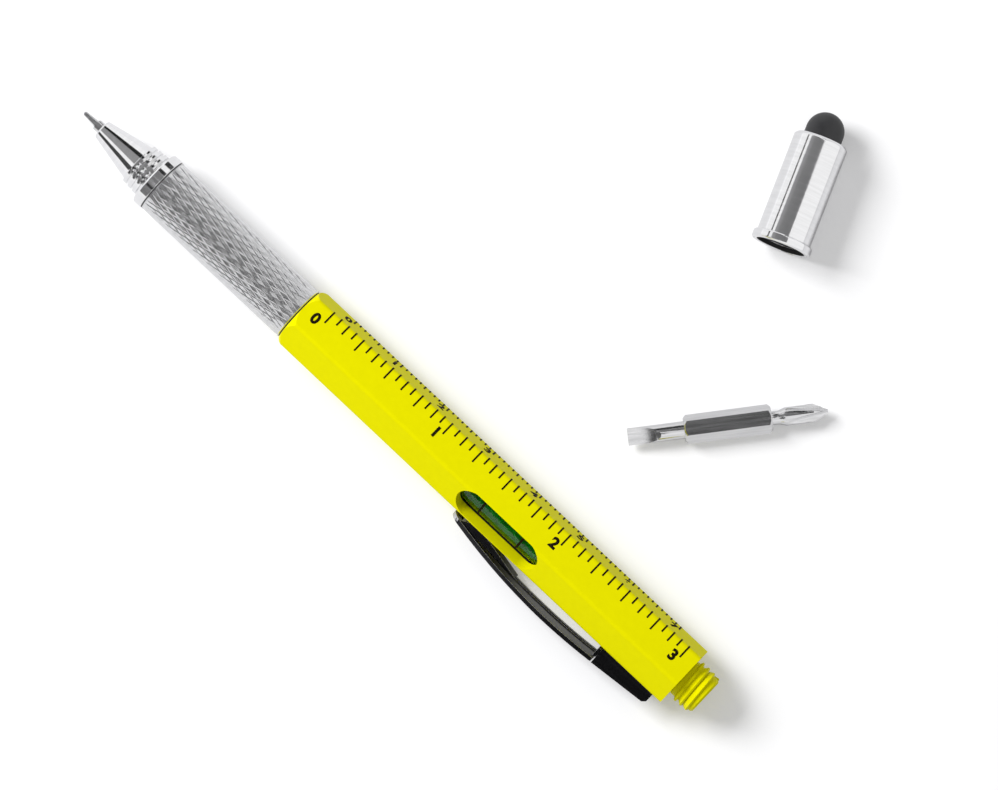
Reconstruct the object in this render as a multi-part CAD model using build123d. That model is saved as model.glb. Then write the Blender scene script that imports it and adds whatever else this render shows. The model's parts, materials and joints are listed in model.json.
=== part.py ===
from build123d import *
import math
import os

os.makedirs("parts", exist_ok=True)

# The pen lies along X, its writing tip towards -X and its tail towards +X, and +Z is up.
# The origin is on the pen's axis, at the open mouth of the tail stud. All lengths are in millimetres.
# Turned pieces are drawn as points of place along the axis and radius, and spun about the axis.

# How the pen lies: it rests on a corner of the barrel and on the clip, so it is rolled a little
ROLL_ANGLE = 10.5
FACE_ANGLE = 60
WINDOW_ANGLE = 60
CLIP_ANGLE = 120

# Clearances and the overrun of cuts
SEAT_GAP = 0.02
RUN_GAP = 0.05
FACE_GAP = 0.05
OVERRUN = 1.0

# Barrel
BARREL_FLATS = 9.8
BARREL_CORNER = 0.8
BARREL_SPARE = 15.83
BARREL_BORE = 7.4
BARREL_START = 9.7
BARREL_BLEND = 1.8

# Tail stud with its outside thread and its socket for the bit
STUD_LENGTH = 4.6
STUD_NECK_LENGTH = 0.1
STUD_NECK = 6.3
STUD_CHAMFER = 0.3
THREAD_MAJOR = 7.5
THREAD_DEPTH = 0.5
THREAD_PITCH = 1.03
THREAD_ROOT_WIDTH = 0.85
THREAD_CREST_WIDTH = 0.3
SOCKET_GAP = 0.04
SOCKET_SPARE = 0.3
PILOT = 3.4
PILOT_SPARE = 0.6
MAGNET = 3.6
MAGNET_LENGTH = 2.0

# Driver bit, measured from its slotted end
BIT_FLATS = 4.0
BIT_HEX_LENGTH = 13.9
BIT_END_LENGTH = 8.95
BIT_HEX_CHAMFER = 0.45
BIT_SHANK = 2.75
BLADE_END = 0.55
BLADE_GRIND = 13.0
BLADE_TURN_ANGLE = 18
CROSS_NECK = 2.2
CROSS_NECK_LENGTH = 1.1
CROSS_BODY = 2.9
CROSS_POINT_LENGTH = 2.3
CROSS_POINT = 0.7
FLUTE = 1.9
FLUTE_WEB = 0.4
FLUTE_LENGTH = 6.4
FLUTE_COUNT = 4
BIT_PLACE_X = -36.9
BIT_PLACE_Y = 21.6
BIT_HEADING_ANGLE = 50.8

# Level
WINDOW_START = 33.3
WINDOW_LENGTH = 16.6
WINDOW_HEIGHT = 5.38
WINDOW_RISE = 0.24
VIAL_LENGTH = 20.4
VIAL_OUTER = 5.8
VIAL_BORE = 4.6
VIAL_BORE_END = 4.4
VIAL_OFFSET = 0.7
VIAL_PLUG_LENGTH = 1.5
VIAL_RING_WIDTH = 0.35
VIAL_RING_THICK = 0.06
VIAL_RING_SPACING = 8.1
VIAL_RING_SHIFT = 0.05
BUBBLE = 2.4
BUBBLE_LENGTH = 3.0
BUBBLE_SHIFT = 2.9
BUBBLE_TRAVEL_TAIL = 3.8
BUBBLE_TRAVEL_TIP = 9.5
BUBBLE_GAP = 0.05
BUBBLE_SKIN = 0.12
CRADLE_END = 1.5

# Twist mechanism
REFILL_TRAVEL = 6.5
TWIST_ANGLE = 180
GUIDE_INSET = 1.05
GUIDE_BORE = 5.7
CAM_OUTER = 5.6
CAM_BORE = 4.6
CAM_IN_GRIP = 13.0
CAM_RING = 6.8
CAM_RING_LENGTH = 0.6
CRADLE_GAP = 0.7
PIN = 1.0
PIN_STEP_ANGLE = 5
PIN_SIDE_ANGLE = 240
FOLLOWER_LENGTH = 10.4
FOLLOWER_CUP = 4.9
PIN_FROM_CUP = 2.6
PIN_SHORT = 0.3

# Grip
GRIP_LENGTH = 29.6
GRIP_OUTER = 9.6
GRIP_BORE = 7.0
GRIP_EDGE = 0.3
LINER_OUTER = 6.9
LINER_RECESS = 0.4
GRIP_WASHER = 9.3
GRIP_WASHER_LENGTH = 0.2

# Nose, from the band forward to the opening
NOSE_WASHER = 9.4
NOSE_WASHER_LENGTH = 0.14
BAND_OUTER = 9.7
BAND_LENGTH = 1.75
BAND_EDGE = 0.25
RIDGE_COUNT = 3
RIDGE_WIDTH = 0.7
RIDGE_GROOVE = 0.37
RIDGE_FIRST = 7.35
RIDGE_STEP = 0.22
RIDGE_ROOT = 6.8
CONE_LENGTH = 8.07
CONE_REAR = 6.6
CONE_FRONT = 3.3
CONE_EDGE = 0.2
SHANK_OUTER = 6.9
SHANK_LENGTH = 8.0
ORIFICE = 2.0
ORIFICE_LENGTH = 4.0
SPRING_ROOM = 4.1

# Refill, from the ball backwards
TIP_OUT = 3.82
BALL = 0.7
BALL_SHOWS = 0.22
BALL_GAP = 0.01
POINT_FRONT = 0.76
POINT_REAR = 1.2
POINT_LENGTH = 2.75
COLLAR = 1.9
COLLAR_END = 9.0
TIP_SHANK = 1.6
TIP_LENGTH = 13.0
INK_WAY = 0.4
REFILL_LENGTH = 67.0
REFILL_OUTER = 2.35
REFILL_BORE = 1.64
BEAD = 3.4
BEAD_START = 15.0
BEAD_LENGTH = 0.8
INK_LENGTH = 37.0
GREASE_LENGTH = 2.5

# Return spring
SPRING_MEAN = 3.2
SPRING_WIRE = 0.3
SPRING_TURNS = 7

# Clip, drawn on its face of the barrel: along the pen, and out from the pen's axis
CLIP_WIDTH = 5.15
CLIP_TIP_WIDTH = 3.6
CLIP_SHEET = 0.45
CLIP_FLANGE = 0.75
CLIP_TIP_X = -48.6
CLIP_TIP_OUT = 6.4
CLIP_TOP_X = -27.4
CLIP_ROOT_OUT = 7.95
BUMP_WIDTH = 2.4
BUMP_BACK_X = -34.5
BUMP_LAND_X = -43.3
BUMP_LAND = 1.6
BUMP_FRONT = 1.9
TONGUE_WIDTH = 3.9
TONGUE_LOW = 5.45
TONGUE_HIGH = 6.95
TONGUE_DROP = 0.43
TONGUE_END_X = -8.8
BLOCK_FRONT_X = -16.8
BLOCK_REAR_X = -6.3
BLOCK_REAR_OUT = 6.95
BLOCK_WALL = 0.45
BLOCK_NOSE = 0.55
MOUTH_GAP = 0.2
FOOT_LENGTH = 4.0
FOOT_X = -11.6
FOOT_THICK = 0.4
FOOT_DEPTH = 1.3
CLIP_PIN = 0.8
CLIP_PIN_X = -12.9
CLIP_PIN_OUT = 6.2
CLIP_PIN_SOCKET = 0.2
LEAF_THICK = 0.15
LEAF_WIDTH = 2.6
LEAF_START_X = -12.0
LEAF_END_X = -8.2
LEAF_RISE = 0.35

# Cap, from its mouth towards the dome
CAP_LENGTH = 18.27
CAP_OUTER = 8.86
CAP_BORE = 8.0
CAP_END_LENGTH = 3.7
CAP_END_EDGE = 0.45
RIM_OUTER = 9.8
RIM_LENGTH = 1.4
RIM_EDGE = 0.2
CAP_THREAD_RECESS = 0.9
CAP_INSERT_LENGTH = 8.8
CAP_THREAD_SPARE = 0.2
CAP_THREAD_GAP = 0.1
STYLUS_HOLE = 6.24
STYLUS_ROOM = 7.3
STYLUS_WEB = 1.5
STYLUS_OUTER = 6.2
STYLUS_FLANGE = 7.2
STYLUS_FLANGE_LENGTH = 1.0
STYLUS_STRAIGHT = 1.38
STYLUS_WALL = 0.9
PLUG_BOSS_GAP = 0.1
CAP_PLACE_X = -39.9
CAP_PLACE_Y = 59.75
CAP_HEADING_ANGLE = 112.0

# Sizes and places along the pen that follow from the values above
BARREL_LENGTH = REFILL_LENGTH + BARREL_SPARE
CAP_BORE_DEPTH = CAP_LENGTH - CAP_END_LENGTH
BARREL_REAR_X = -STUD_LENGTH
BARREL_FRONT_X = BARREL_REAR_X - BARREL_LENGTH
GRIP_REAR_X = BARREL_FRONT_X - FACE_GAP - GRIP_WASHER_LENGTH
GRIP_FRONT_X = GRIP_REAR_X - GRIP_LENGTH
BAND_REAR_X = GRIP_FRONT_X - NOSE_WASHER_LENGTH
BAND_FRONT_X = BAND_REAR_X - BAND_LENGTH
RIDGE_SPAN = RIDGE_COUNT * (RIDGE_WIDTH + RIDGE_GROOVE)
CONE_REAR_X = BAND_FRONT_X - RIDGE_SPAN
CONE_FRONT_X = CONE_REAR_X - CONE_LENGTH
TIP_X = CONE_FRONT_X - TIP_OUT
SPRING_FRONT_X = CONE_FRONT_X + ORIFICE_LENGTH
REFILL_REAR_X = TIP_X + REFILL_LENGTH

SOCKET_DEPTH = BIT_HEX_LENGTH + SOCKET_SPARE
PILOT_END_X = -SOCKET_DEPTH - BIT_END_LENGTH - PILOT_SPARE
STUD_INNER_X = PILOT_END_X - MAGNET_LENGTH
WINDOW_MIDDLE_X = -WINDOW_START - WINDOW_LENGTH / 2
VIAL_REAR_X = WINDOW_MIDDLE_X + VIAL_LENGTH / 2
VIAL_FRONT_X = WINDOW_MIDDLE_X - VIAL_LENGTH / 2
CRADLE_FRONT_X = VIAL_FRONT_X - CRADLE_END
LIQUID_REAR_X = VIAL_REAR_X - VIAL_PLUG_LENGTH
LIQUID_FRONT_X = VIAL_FRONT_X + VIAL_PLUG_LENGTH
CAM_RING_REAR_X = CRADLE_FRONT_X - CRADLE_GAP
GUIDE_REAR_X = CAM_RING_REAR_X - CAM_RING_LENGTH - RUN_GAP
GUIDE_FRONT_X = BARREL_FRONT_X + GUIDE_INSET
CAM_FRONT_X = BARREL_FRONT_X - CAM_IN_GRIP
FOLLOWER_FRONT_X = REFILL_REAR_X - FOLLOWER_CUP
PIN_X = REFILL_REAR_X + PIN_FROM_CUP

# Heights over the table: the barrel stands on a rounded corner, and the clip reaches down to the same level
CORNER_CENTRE = (BARREL_FLATS / 2 - BARREL_CORNER) / math.cos(math.radians(FACE_ANGLE / 2))
LEAN = math.radians(FACE_ANGLE / 2 - ROLL_ANGLE)
TABLE_Z = -(CORNER_CENTRE * math.cos(LEAN) + BARREL_CORNER)
CLIP_TOP_OUT = (-TABLE_Z - CLIP_WIDTH / 2 * math.cos(LEAN)) / math.sin(LEAN)


def turned(points):
    """A solid spun about the pen's axis from points of place along it and radius."""
    return revolve(make_face(Polyline(*points, close=True)), Axis.X)


def tube(start, end, outer, inner=0):
    """A plain tube along the pen's axis, given by its two ends and its diameters."""
    return turned([(start, inner / 2), (start, outer / 2), (end, outer / 2), (end, inner / 2)])


def lathe(points):
    """A solid spun about a piece's own Z axis from points of radius and height."""
    return revolve(Plane.XZ * make_face(Polyline(*points, close=True)), Axis.Z)


def hexagon_bar(flats, start, end, corner=0):
    """A six-sided bar along the pen's axis with one flat facing up."""
    outline = RegularPolygon(flats / 2, 6, major_radius=False)
    if corner:
        outline = fillet(outline.vertices(), corner)
    return extrude(Plane.YZ.offset(start) * outline, end - start)


def on_helix(pitch, radius, angle):
    """The place on a helix about Z, and the way it runs there."""
    across = Vector(radius * math.cos(angle), radius * math.sin(angle), 0)
    rise = Vector(0, 0, pitch / (2 * math.pi))
    return across + rise * angle, (across.rotate(Axis.Z, 90) + rise).normalized()


def helical_path(pitch, length, radius):
    """A helix about Z, drawn as a pair of tangent arcs for each quarter turn or less."""
    turn = 2 * math.pi * length / pitch
    steps = math.ceil(turn / (math.pi / 2))
    arcs = []
    for step in range(steps):
        start, start_way = on_helix(pitch, radius, turn * step / steps)
        end, end_way = on_helix(pitch, radius, turn * (step + 1) / steps)
        chord = end - start
        ways = start_way + end_way
        square = 4 - ways.dot(ways)
        along = chord.dot(ways)
        reach = (math.sqrt(along**2 + square * chord.dot(chord)) - along) / square
        middle = (start + start_way * reach + end - end_way * reach) * (1 / 2)
        first = TangentArc(start, middle, tangent=start_way)
        arcs += [first, TangentArc(middle, end, tangent=first % 1)]
    return Wire(arcs)


def helical_ridge(pitch, length, root, crest, root_width, crest_width):
    """A helical ridge about Z, from its root radius to its crest radius."""
    path = helical_path(pitch, length, root)
    inside = math.copysign(THREAD_DEPTH / 2, root - crest)
    outline = Polyline(
        (inside, -root_width / 2),
        (crest - root, -crest_width / 2),
        (crest - root, crest_width / 2),
        (inside, root_width / 2),
        close=True,
    )
    section = Plane(origin=path @ 0, x_dir=(1, 0, 0), z_dir=path % 0) * make_face(outline)
    return sweep(section, path=path, is_frenet=True)


def capsule(start, end, diameter):
    """A round-ended rod along the pen's axis."""
    radius = diameter / 2
    line = Line((start + radius, radius), (end - radius, radius))
    first = RadiusArc((start, 0), (start + radius, radius), radius)
    last = RadiusArc((end - radius, radius), (end, 0), radius)
    return revolve(make_face([first, line, last, Line((end, 0), (start, 0))]), Axis.X)


def on_face(angle, shape):
    """A shape drawn on top of the pen, turned round to another of the barrel's faces."""
    return Rot(angle, 0, 0) * shape


def save(name, shape):
    """Writes one piece of the pen, rolled as the pen lies."""
    export_step(Rot(-ROLL_ANGLE, 0, 0) * shape, f"parts/{name}.step")


def hex_barrel():
    """The six-sided barrel with its bore, level window and the slots for the clip's feet."""
    full = BARREL_FLATS / 2 / math.cos(math.radians(FACE_ANGLE / 2))
    blend = TangentArc(
        (BARREL_FRONT_X + BARREL_BLEND, full),
        (BARREL_FRONT_X, BARREL_START / 2),
        tangent=(-1, 0),
    )
    rest = Polyline(
        (BARREL_FRONT_X, BARREL_START / 2),
        (BARREL_FRONT_X, 0),
        (BARREL_REAR_X, 0),
        (BARREL_REAR_X, full),
        (BARREL_FRONT_X + BARREL_BLEND, full),
    )
    envelope = revolve(make_face([blend, rest]), Axis.X)
    body = hexagon_bar(BARREL_FLATS, BARREL_FRONT_X, BARREL_REAR_X, BARREL_CORNER) & envelope
    body -= tube(BARREL_FRONT_X - OVERRUN, BARREL_REAR_X + OVERRUN, BARREL_BORE)
    body -= on_face(WINDOW_ANGLE, window_cut())
    for foot in clip_feet(SEAT_GAP):
        body -= on_face(CLIP_ANGLE, foot)
    return body


def window_cut():
    """The round-ended slot of the level window, through one wall of the barrel."""
    slot = extrude(SlotOverall(WINDOW_LENGTH, WINDOW_HEIGHT), BARREL_FLATS)
    return Pos(WINDOW_MIDDLE_X, WINDOW_RISE, 0) * slot


def tail_stud():
    """The plug in the barrel's tail: thread outside, hex socket and pilot hole inside."""
    minor = THREAD_MAJOR / 2 - THREAD_DEPTH
    neck = STUD_NECK / 2
    inner = BARREL_BORE / 2 - SEAT_GAP
    thread_start = BARREL_REAR_X + STUD_NECK_LENGTH
    body = turned([
        (STUD_INNER_X, 0),
        (STUD_INNER_X, inner),
        (BARREL_REAR_X, inner),
        (BARREL_REAR_X, neck),
        (thread_start, neck),
        (thread_start, minor),
        (-STUD_CHAMFER, minor),
        (0, minor - STUD_CHAMFER),
        (0, 0),
    ])
    turns_length = STUD_LENGTH - STUD_NECK_LENGTH - STUD_CHAMFER - THREAD_ROOT_WIDTH
    ridge = helical_ridge(
        THREAD_PITCH, turns_length, minor, THREAD_MAJOR / 2, THREAD_ROOT_WIDTH, THREAD_CREST_WIDTH
    )
    start = thread_start + THREAD_ROOT_WIDTH / 2
    body += Pos(start, 0, 0) * Rot(0, 90, 0) * ridge
    body -= hexagon_bar(BIT_FLATS + 2 * SOCKET_GAP, -SOCKET_DEPTH, OVERRUN)
    body -= tube(PILOT_END_X - OVERRUN, OVERRUN, PILOT)
    body -= tube(STUD_INNER_X - OVERRUN, PILOT_END_X, MAGNET + 2 * SEAT_GAP)
    return body


def vial_at(shape):
    """Moves a shape from the pen's axis to the vial's, which is nearer the window."""
    angle = math.radians(WINDOW_ANGLE)
    return Pos(0, -VIAL_OFFSET * math.sin(angle), VIAL_OFFSET * math.cos(angle)) * shape


def vial_room(gap=0):
    """The vial's slightly barrel-shaped inside."""
    end = VIAL_BORE_END / 2 - gap
    arc = ThreePointArc(
        (LIQUID_FRONT_X, end),
        (WINDOW_MIDDLE_X, VIAL_BORE / 2 - gap),
        (LIQUID_REAR_X, end),
    )
    rest = Polyline((LIQUID_REAR_X, end), (LIQUID_REAR_X, 0), (LIQUID_FRONT_X, 0), (LIQUID_FRONT_X, end))
    return revolve(make_face([arc, rest]), Axis.X)


def bubble_at(shape):
    """Moves a shape to the top of the vial as the pen lies, where the bubble floats."""
    rise = VIAL_BORE_END / 2 - SEAT_GAP - BUBBLE_SKIN - BUBBLE_GAP - BUBBLE / 2
    angle = math.radians(ROLL_ANGLE)
    return vial_at(Pos(0, -rise * math.sin(angle), rise * math.cos(angle)) * shape)


def level_pieces():
    """The level: cradle, vial, plugs, marks, liquid, bubble and the pad behind them."""
    ring_outer = VIAL_OUTER + 2 * VIAL_RING_THICK
    room = ring_outer + 2 * RUN_GAP
    cradle = tube(CRADLE_FRONT_X, STUD_INNER_X, BARREL_BORE - 2 * SEAT_GAP)
    cradle -= vial_at(tube(VIAL_FRONT_X, STUD_INNER_X + OVERRUN, room))
    cradle -= on_face(WINDOW_ANGLE, window_cut())
    glass = tube(VIAL_FRONT_X, VIAL_REAR_X, VIAL_OUTER) - vial_room()
    glass -= tube(VIAL_FRONT_X - OVERRUN, LIQUID_FRONT_X + OVERRUN, VIAL_BORE_END)
    glass -= tube(LIQUID_REAR_X - OVERRUN, VIAL_REAR_X + OVERRUN, VIAL_BORE_END)
    plug = VIAL_BORE_END - 2 * SEAT_GAP
    plugs = [tube(VIAL_FRONT_X, LIQUID_FRONT_X, plug), tube(LIQUID_REAR_X, VIAL_REAR_X, plug)]
    rings = []
    for side in (-1, 1):
        middle = WINDOW_MIDDLE_X - VIAL_RING_SHIFT + side * VIAL_RING_SPACING / 2
        half = VIAL_RING_WIDTH / 2
        rings.append(tube(middle - half, middle + half, ring_outer, VIAL_OUTER))
    bubble_middle = WINDOW_MIDDLE_X + BUBBLE_SHIFT
    bubble_front = bubble_middle - BUBBLE_LENGTH / 2
    bubble_rear = bubble_middle + BUBBLE_LENGTH / 2
    way = capsule(
        bubble_front - BUBBLE_TRAVEL_TIP - BUBBLE_GAP,
        bubble_rear + BUBBLE_TRAVEL_TAIL + BUBBLE_GAP,
        BUBBLE + 2 * BUBBLE_GAP,
    )
    liquid = vial_at(vial_room(SEAT_GAP)) - bubble_at(way)
    save("level_cradle", cradle)
    save("vial_tube", vial_at(glass))
    save("vial_plugs", Compound([vial_at(piece) for piece in plugs]))
    save("vial_rings", Compound([vial_at(piece) for piece in rings]))
    save("vial_liquid", liquid)
    save("level_bubble", bubble_at(capsule(bubble_front, bubble_rear, BUBBLE)))
    save("vial_cushion", vial_at(tube(VIAL_REAR_X, STUD_INNER_X, VIAL_OUTER)))


def peg(along, turn, diameter, reach):
    """A peg that stands out of the pen's axis, at a place along it and a turn about it."""
    stem = Cylinder(diameter / 2, reach, align=(Align.CENTER, Align.CENTER, Align.MIN))
    return Rot(turn, 0, 0) * Pos(along, 0, 0) * stem


def guide_sleeve():
    """The sleeve fixed in the barrel, with a straight slot that keeps the pin from turning."""
    body = tube(GUIDE_FRONT_X, GUIDE_REAR_X, BARREL_BORE - 2 * SEAT_GAP, GUIDE_BORE)
    width = PIN + 2 * RUN_GAP
    slot = extrude(SlotOverall(REFILL_TRAVEL + width, width), BARREL_FLATS)
    return body - Rot(PIN_SIDE_ANGLE, 0, 0) * Pos(PIN_X + REFILL_TRAVEL / 2, 0, 0) * slot


def cam_sleeve():
    """The sleeve that turns with the grip, with the helical slot that drives the pin."""
    rear = CAM_RING_REAR_X + CAM_RING_LENGTH / 2
    body = tube(CAM_FRONT_X, rear, CAM_OUTER, CAM_BORE)
    steps = round(TWIST_ANGLE / PIN_STEP_ANGLE)
    cuts = []
    for step in range(steps + 1):
        along = PIN_X + REFILL_TRAVEL * step / steps
        turn = PIN_SIDE_ANGLE - TWIST_ANGLE * step / steps
        cuts.append(peg(along, turn, PIN + 2 * RUN_GAP, CAM_OUTER))
    return body - cuts


def twist_pieces():
    """The follower that pushes the refill, its pin, and the ring that keeps the cam sleeve in."""
    follower = tube(FOLLOWER_FRONT_X, FOLLOWER_FRONT_X + FOLLOWER_LENGTH, CAM_BORE - 2 * RUN_GAP)
    follower -= tube(FOLLOWER_FRONT_X - OVERRUN, REFILL_REAR_X, REFILL_OUTER + 2 * SEAT_GAP)
    follower -= peg(PIN_X, PIN_SIDE_ANGLE, PIN + 2 * SEAT_GAP, CAM_OUTER)
    reach = BARREL_BORE / 2 - PIN_SHORT
    save("guide_sleeve", guide_sleeve())
    save("cam_sleeve", cam_sleeve())
    save("cam_ring", tube(CAM_RING_REAR_X - CAM_RING_LENGTH, CAM_RING_REAR_X, CAM_RING, CAM_OUTER))
    save("cam_follower", follower)
    save("follower_pin", peg(PIN_X, PIN_SIDE_ANGLE, PIN, reach))


def grip_pieces():
    """The grip tube, its liner and the two washers at its ends."""
    outer = GRIP_OUTER / 2
    sleeve = turned([
        (GRIP_FRONT_X, GRIP_BORE / 2),
        (GRIP_FRONT_X, outer - GRIP_EDGE),
        (GRIP_FRONT_X + GRIP_EDGE, outer),
        (GRIP_REAR_X - GRIP_EDGE, outer),
        (GRIP_REAR_X, outer - GRIP_EDGE),
        (GRIP_REAR_X, GRIP_BORE / 2),
    ])
    liner_front = BAND_FRONT_X + SHANK_LENGTH + FACE_GAP
    save("grip_sleeve", sleeve)
    save("grip_liner", tube(liner_front, GRIP_REAR_X - LINER_RECESS, LINER_OUTER, CAM_OUTER + 2 * SEAT_GAP))
    save("grip_washer", tube(GRIP_REAR_X, BARREL_FRONT_X - FACE_GAP, GRIP_WASHER, CAM_OUTER + 2 * RUN_GAP))
    save("nose_washer", tube(BAND_REAR_X, GRIP_FRONT_X, NOSE_WASHER, SHANK_OUTER + 2 * SEAT_GAP))


def nose_pieces():
    """The nose cone with its ridges and threaded shank, and the band behind the ridges."""
    cone = [
        (CONE_FRONT_X, 0),
        (CONE_FRONT_X, CONE_FRONT / 2 - CONE_EDGE),
        (CONE_FRONT_X + CONE_EDGE, CONE_FRONT / 2),
        (CONE_REAR_X, CONE_REAR / 2),
    ]
    for ridge in range(RIDGE_COUNT):
        start = CONE_REAR_X + ridge * (RIDGE_WIDTH + RIDGE_GROOVE)
        radius = (RIDGE_FIRST + ridge * RIDGE_STEP) / 2
        cone += [
            (start, radius),
            (start + RIDGE_WIDTH, radius),
            (start + RIDGE_WIDTH, RIDGE_ROOT / 2),
            (start + RIDGE_WIDTH + RIDGE_GROOVE, RIDGE_ROOT / 2),
        ]
    shank_rear = BAND_FRONT_X + SHANK_LENGTH
    cone += [(BAND_FRONT_X, SHANK_OUTER / 2), (shank_rear, SHANK_OUTER / 2), (shank_rear, 0)]
    body = turned(cone)
    body -= tube(CONE_FRONT_X - OVERRUN, shank_rear + OVERRUN, ORIFICE)
    body -= tube(SPRING_FRONT_X, shank_rear + OVERRUN, SPRING_ROOM)
    hole = SHANK_OUTER / 2 + SEAT_GAP
    outer = BAND_OUTER / 2
    band = turned([
        (BAND_FRONT_X, hole),
        (BAND_FRONT_X, outer - BAND_EDGE),
        (BAND_FRONT_X + BAND_EDGE, outer),
        (BAND_REAR_X, outer),
        (BAND_REAR_X, hole),
    ])
    save("nose_cone", body)
    save("nose_band", band)


def refill_pieces():
    """The refill: ball, point, tube with its bead, ink and grease."""
    ball_x = TIP_X + BALL / 2
    point = turned([
        (TIP_X + BALL_SHOWS, 0),
        (TIP_X + BALL_SHOWS, POINT_FRONT / 2),
        (TIP_X + POINT_LENGTH, POINT_REAR / 2),
        (TIP_X + POINT_LENGTH, COLLAR / 2),
        (TIP_X + COLLAR_END, COLLAR / 2),
        (TIP_X + COLLAR_END, TIP_SHANK / 2),
        (TIP_X + TIP_LENGTH, TIP_SHANK / 2),
        (TIP_X + TIP_LENGTH, 0),
    ])
    point -= Pos(ball_x, 0, 0) * Sphere(BALL / 2 + BALL_GAP)
    point -= tube(ball_x, TIP_X + TIP_LENGTH + OVERRUN, INK_WAY)
    bead_start = TIP_X + BEAD_START
    body = turned([
        (TIP_X + COLLAR_END, REFILL_BORE / 2),
        (TIP_X + COLLAR_END, REFILL_OUTER / 2),
        (bead_start, REFILL_OUTER / 2),
        (bead_start, BEAD / 2),
        (bead_start + BEAD_LENGTH, BEAD / 2),
        (bead_start + BEAD_LENGTH, REFILL_OUTER / 2),
        (REFILL_REAR_X, REFILL_OUTER / 2),
        (REFILL_REAR_X, REFILL_BORE / 2),
    ])
    ink_rear = TIP_X + TIP_LENGTH + INK_LENGTH
    inside = REFILL_BORE - 2 * SEAT_GAP
    save("writing_ball", Pos(ball_x, 0, 0) * Sphere(BALL / 2))
    save("refill_tip", point)
    save("refill_tube", body)
    save("ink_column", tube(TIP_X + TIP_LENGTH, ink_rear, inside))
    save("ink_grease", tube(ink_rear, ink_rear + GREASE_LENGTH, inside))


def return_spring():
    """The coil spring between the nose's shoulder and the refill's bead."""
    start = SPRING_FRONT_X + SPRING_WIRE / 2 + SEAT_GAP
    end = TIP_X + BEAD_START - SPRING_WIRE / 2 - SEAT_GAP
    pitch = (end - start) / SPRING_TURNS
    path = helical_path(pitch, end - start, SPRING_MEAN / 2)
    wire = Plane(origin=path @ 0, z_dir=path % 0) * Circle(SPRING_WIRE / 2)
    coil = sweep(wire, path=path)
    held = coil.volume / (path.length * math.pi * SPRING_WIRE**2 / 4)
    print(f"return_spring: least gap of turns {pitch - SPRING_WIRE:.2f} mm, volume over length {held:.4f}")
    return Pos(start, 0, 0) * Rot(0, 90, 0) * coil


def clip_feet(gap=0):
    """The two feet of the clip's block, which go into slots in the barrel."""
    feet = []
    for side in (-1, 1):
        inner = CLIP_WIDTH / 2 - FOOT_THICK
        foot = Box(
            FOOT_LENGTH + 2 * gap,
            FOOT_THICK + 2 * gap,
            FOOT_DEPTH + gap,
            align=(Align.CENTER, Align.CENTER, Align.MAX),
        )
        feet.append(Pos(FOOT_X, side * (inner + FOOT_THICK / 2), BARREL_FLATS / 2) * foot)
    return feet


def side_prism(points, width):
    """A flat outline in the plane along the pen and out from it, made as wide as given."""
    outline = Plane.XZ * make_face(Polyline(*points, close=True))
    return extrude(outline, width / 2, both=True)


def clip_block():
    """The folded box on the barrel that carries the clip's arm, open at the front and below."""
    base = BARREL_FLATS / 2
    roof = [
        (BLOCK_FRONT_X, base),
        (BLOCK_FRONT_X, CLIP_ROOT_OUT),
        (BLOCK_REAR_X - BLOCK_NOSE, BLOCK_REAR_OUT),
        (BLOCK_REAR_X, BLOCK_REAR_OUT - BLOCK_NOSE),
        (BLOCK_REAR_X, base),
    ]
    room = [
        (BLOCK_FRONT_X - OVERRUN, base - OVERRUN),
        (BLOCK_FRONT_X - OVERRUN, CLIP_ROOT_OUT + OVERRUN),
        (BLOCK_FRONT_X, CLIP_ROOT_OUT - BLOCK_WALL),
        (BLOCK_REAR_X - BLOCK_NOSE - BLOCK_WALL, BLOCK_REAR_OUT - BLOCK_WALL),
        (BLOCK_REAR_X - BLOCK_NOSE - BLOCK_WALL, base - OVERRUN),
    ]
    body = side_prism(roof, CLIP_WIDTH) - side_prism(room, CLIP_WIDTH - 2 * BLOCK_WALL)
    for foot in clip_feet():
        body += foot
    return body - clip_pin(SEAT_GAP)


def clip_pin(gap=0):
    """The cross pin that the clip's arm turns on, with its ends in blind sockets of the block."""
    length = CLIP_WIDTH - 2 * BLOCK_WALL + 2 * CLIP_PIN_SOCKET + 2 * gap
    stem = Cylinder(CLIP_PIN / 2 + gap, length, rotation=(90, 0, 0))
    return Pos(CLIP_PIN_X, 0, CLIP_PIN_OUT) * stem


def clip_arm():
    """The bowed channel of sheet with its contact bump, and the tongue that turns in the block."""
    root_x = BLOCK_FRONT_X - MOUTH_GAP
    outer = bow(CLIP_TIP_X, root_x, 0)
    inner = bow(CLIP_TIP_X, root_x, CLIP_FLANGE)
    web = bow(CLIP_TIP_X, root_x, CLIP_SHEET)
    solid = between(outer, inner, CLIP_WIDTH)
    hollow = between(web, bow(CLIP_TIP_X, root_x, CLIP_FLANGE + OVERRUN), CLIP_WIDTH - 2 * CLIP_SHEET)
    plan = extrude(clip_plan(0), BARREL_FLATS)
    plan_inside = extrude(clip_plan(CLIP_SHEET), BARREL_FLATS)
    body = (solid & plan) - (hollow & plan_inside)
    body += bump()
    tongue_front = root_x - CLIP_SHEET
    tongue = [
        (tongue_front, TONGUE_LOW),
        (tongue_front, CLIP_ROOT_OUT - CLIP_SHEET / 2),
        (root_x, CLIP_ROOT_OUT - CLIP_SHEET / 2),
        (root_x, TONGUE_HIGH),
        (CLIP_PIN_X, TONGUE_HIGH),
        (TONGUE_END_X, TONGUE_HIGH - TONGUE_DROP),
        (TONGUE_END_X, TONGUE_LOW),
    ]
    body += side_prism(tongue, TONGUE_WIDTH)
    eye = Cylinder(CLIP_PIN / 2 + RUN_GAP, CLIP_WIDTH, rotation=(90, 0, 0))
    return body - Pos(CLIP_PIN_X, 0, CLIP_PIN_OUT) * eye


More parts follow.
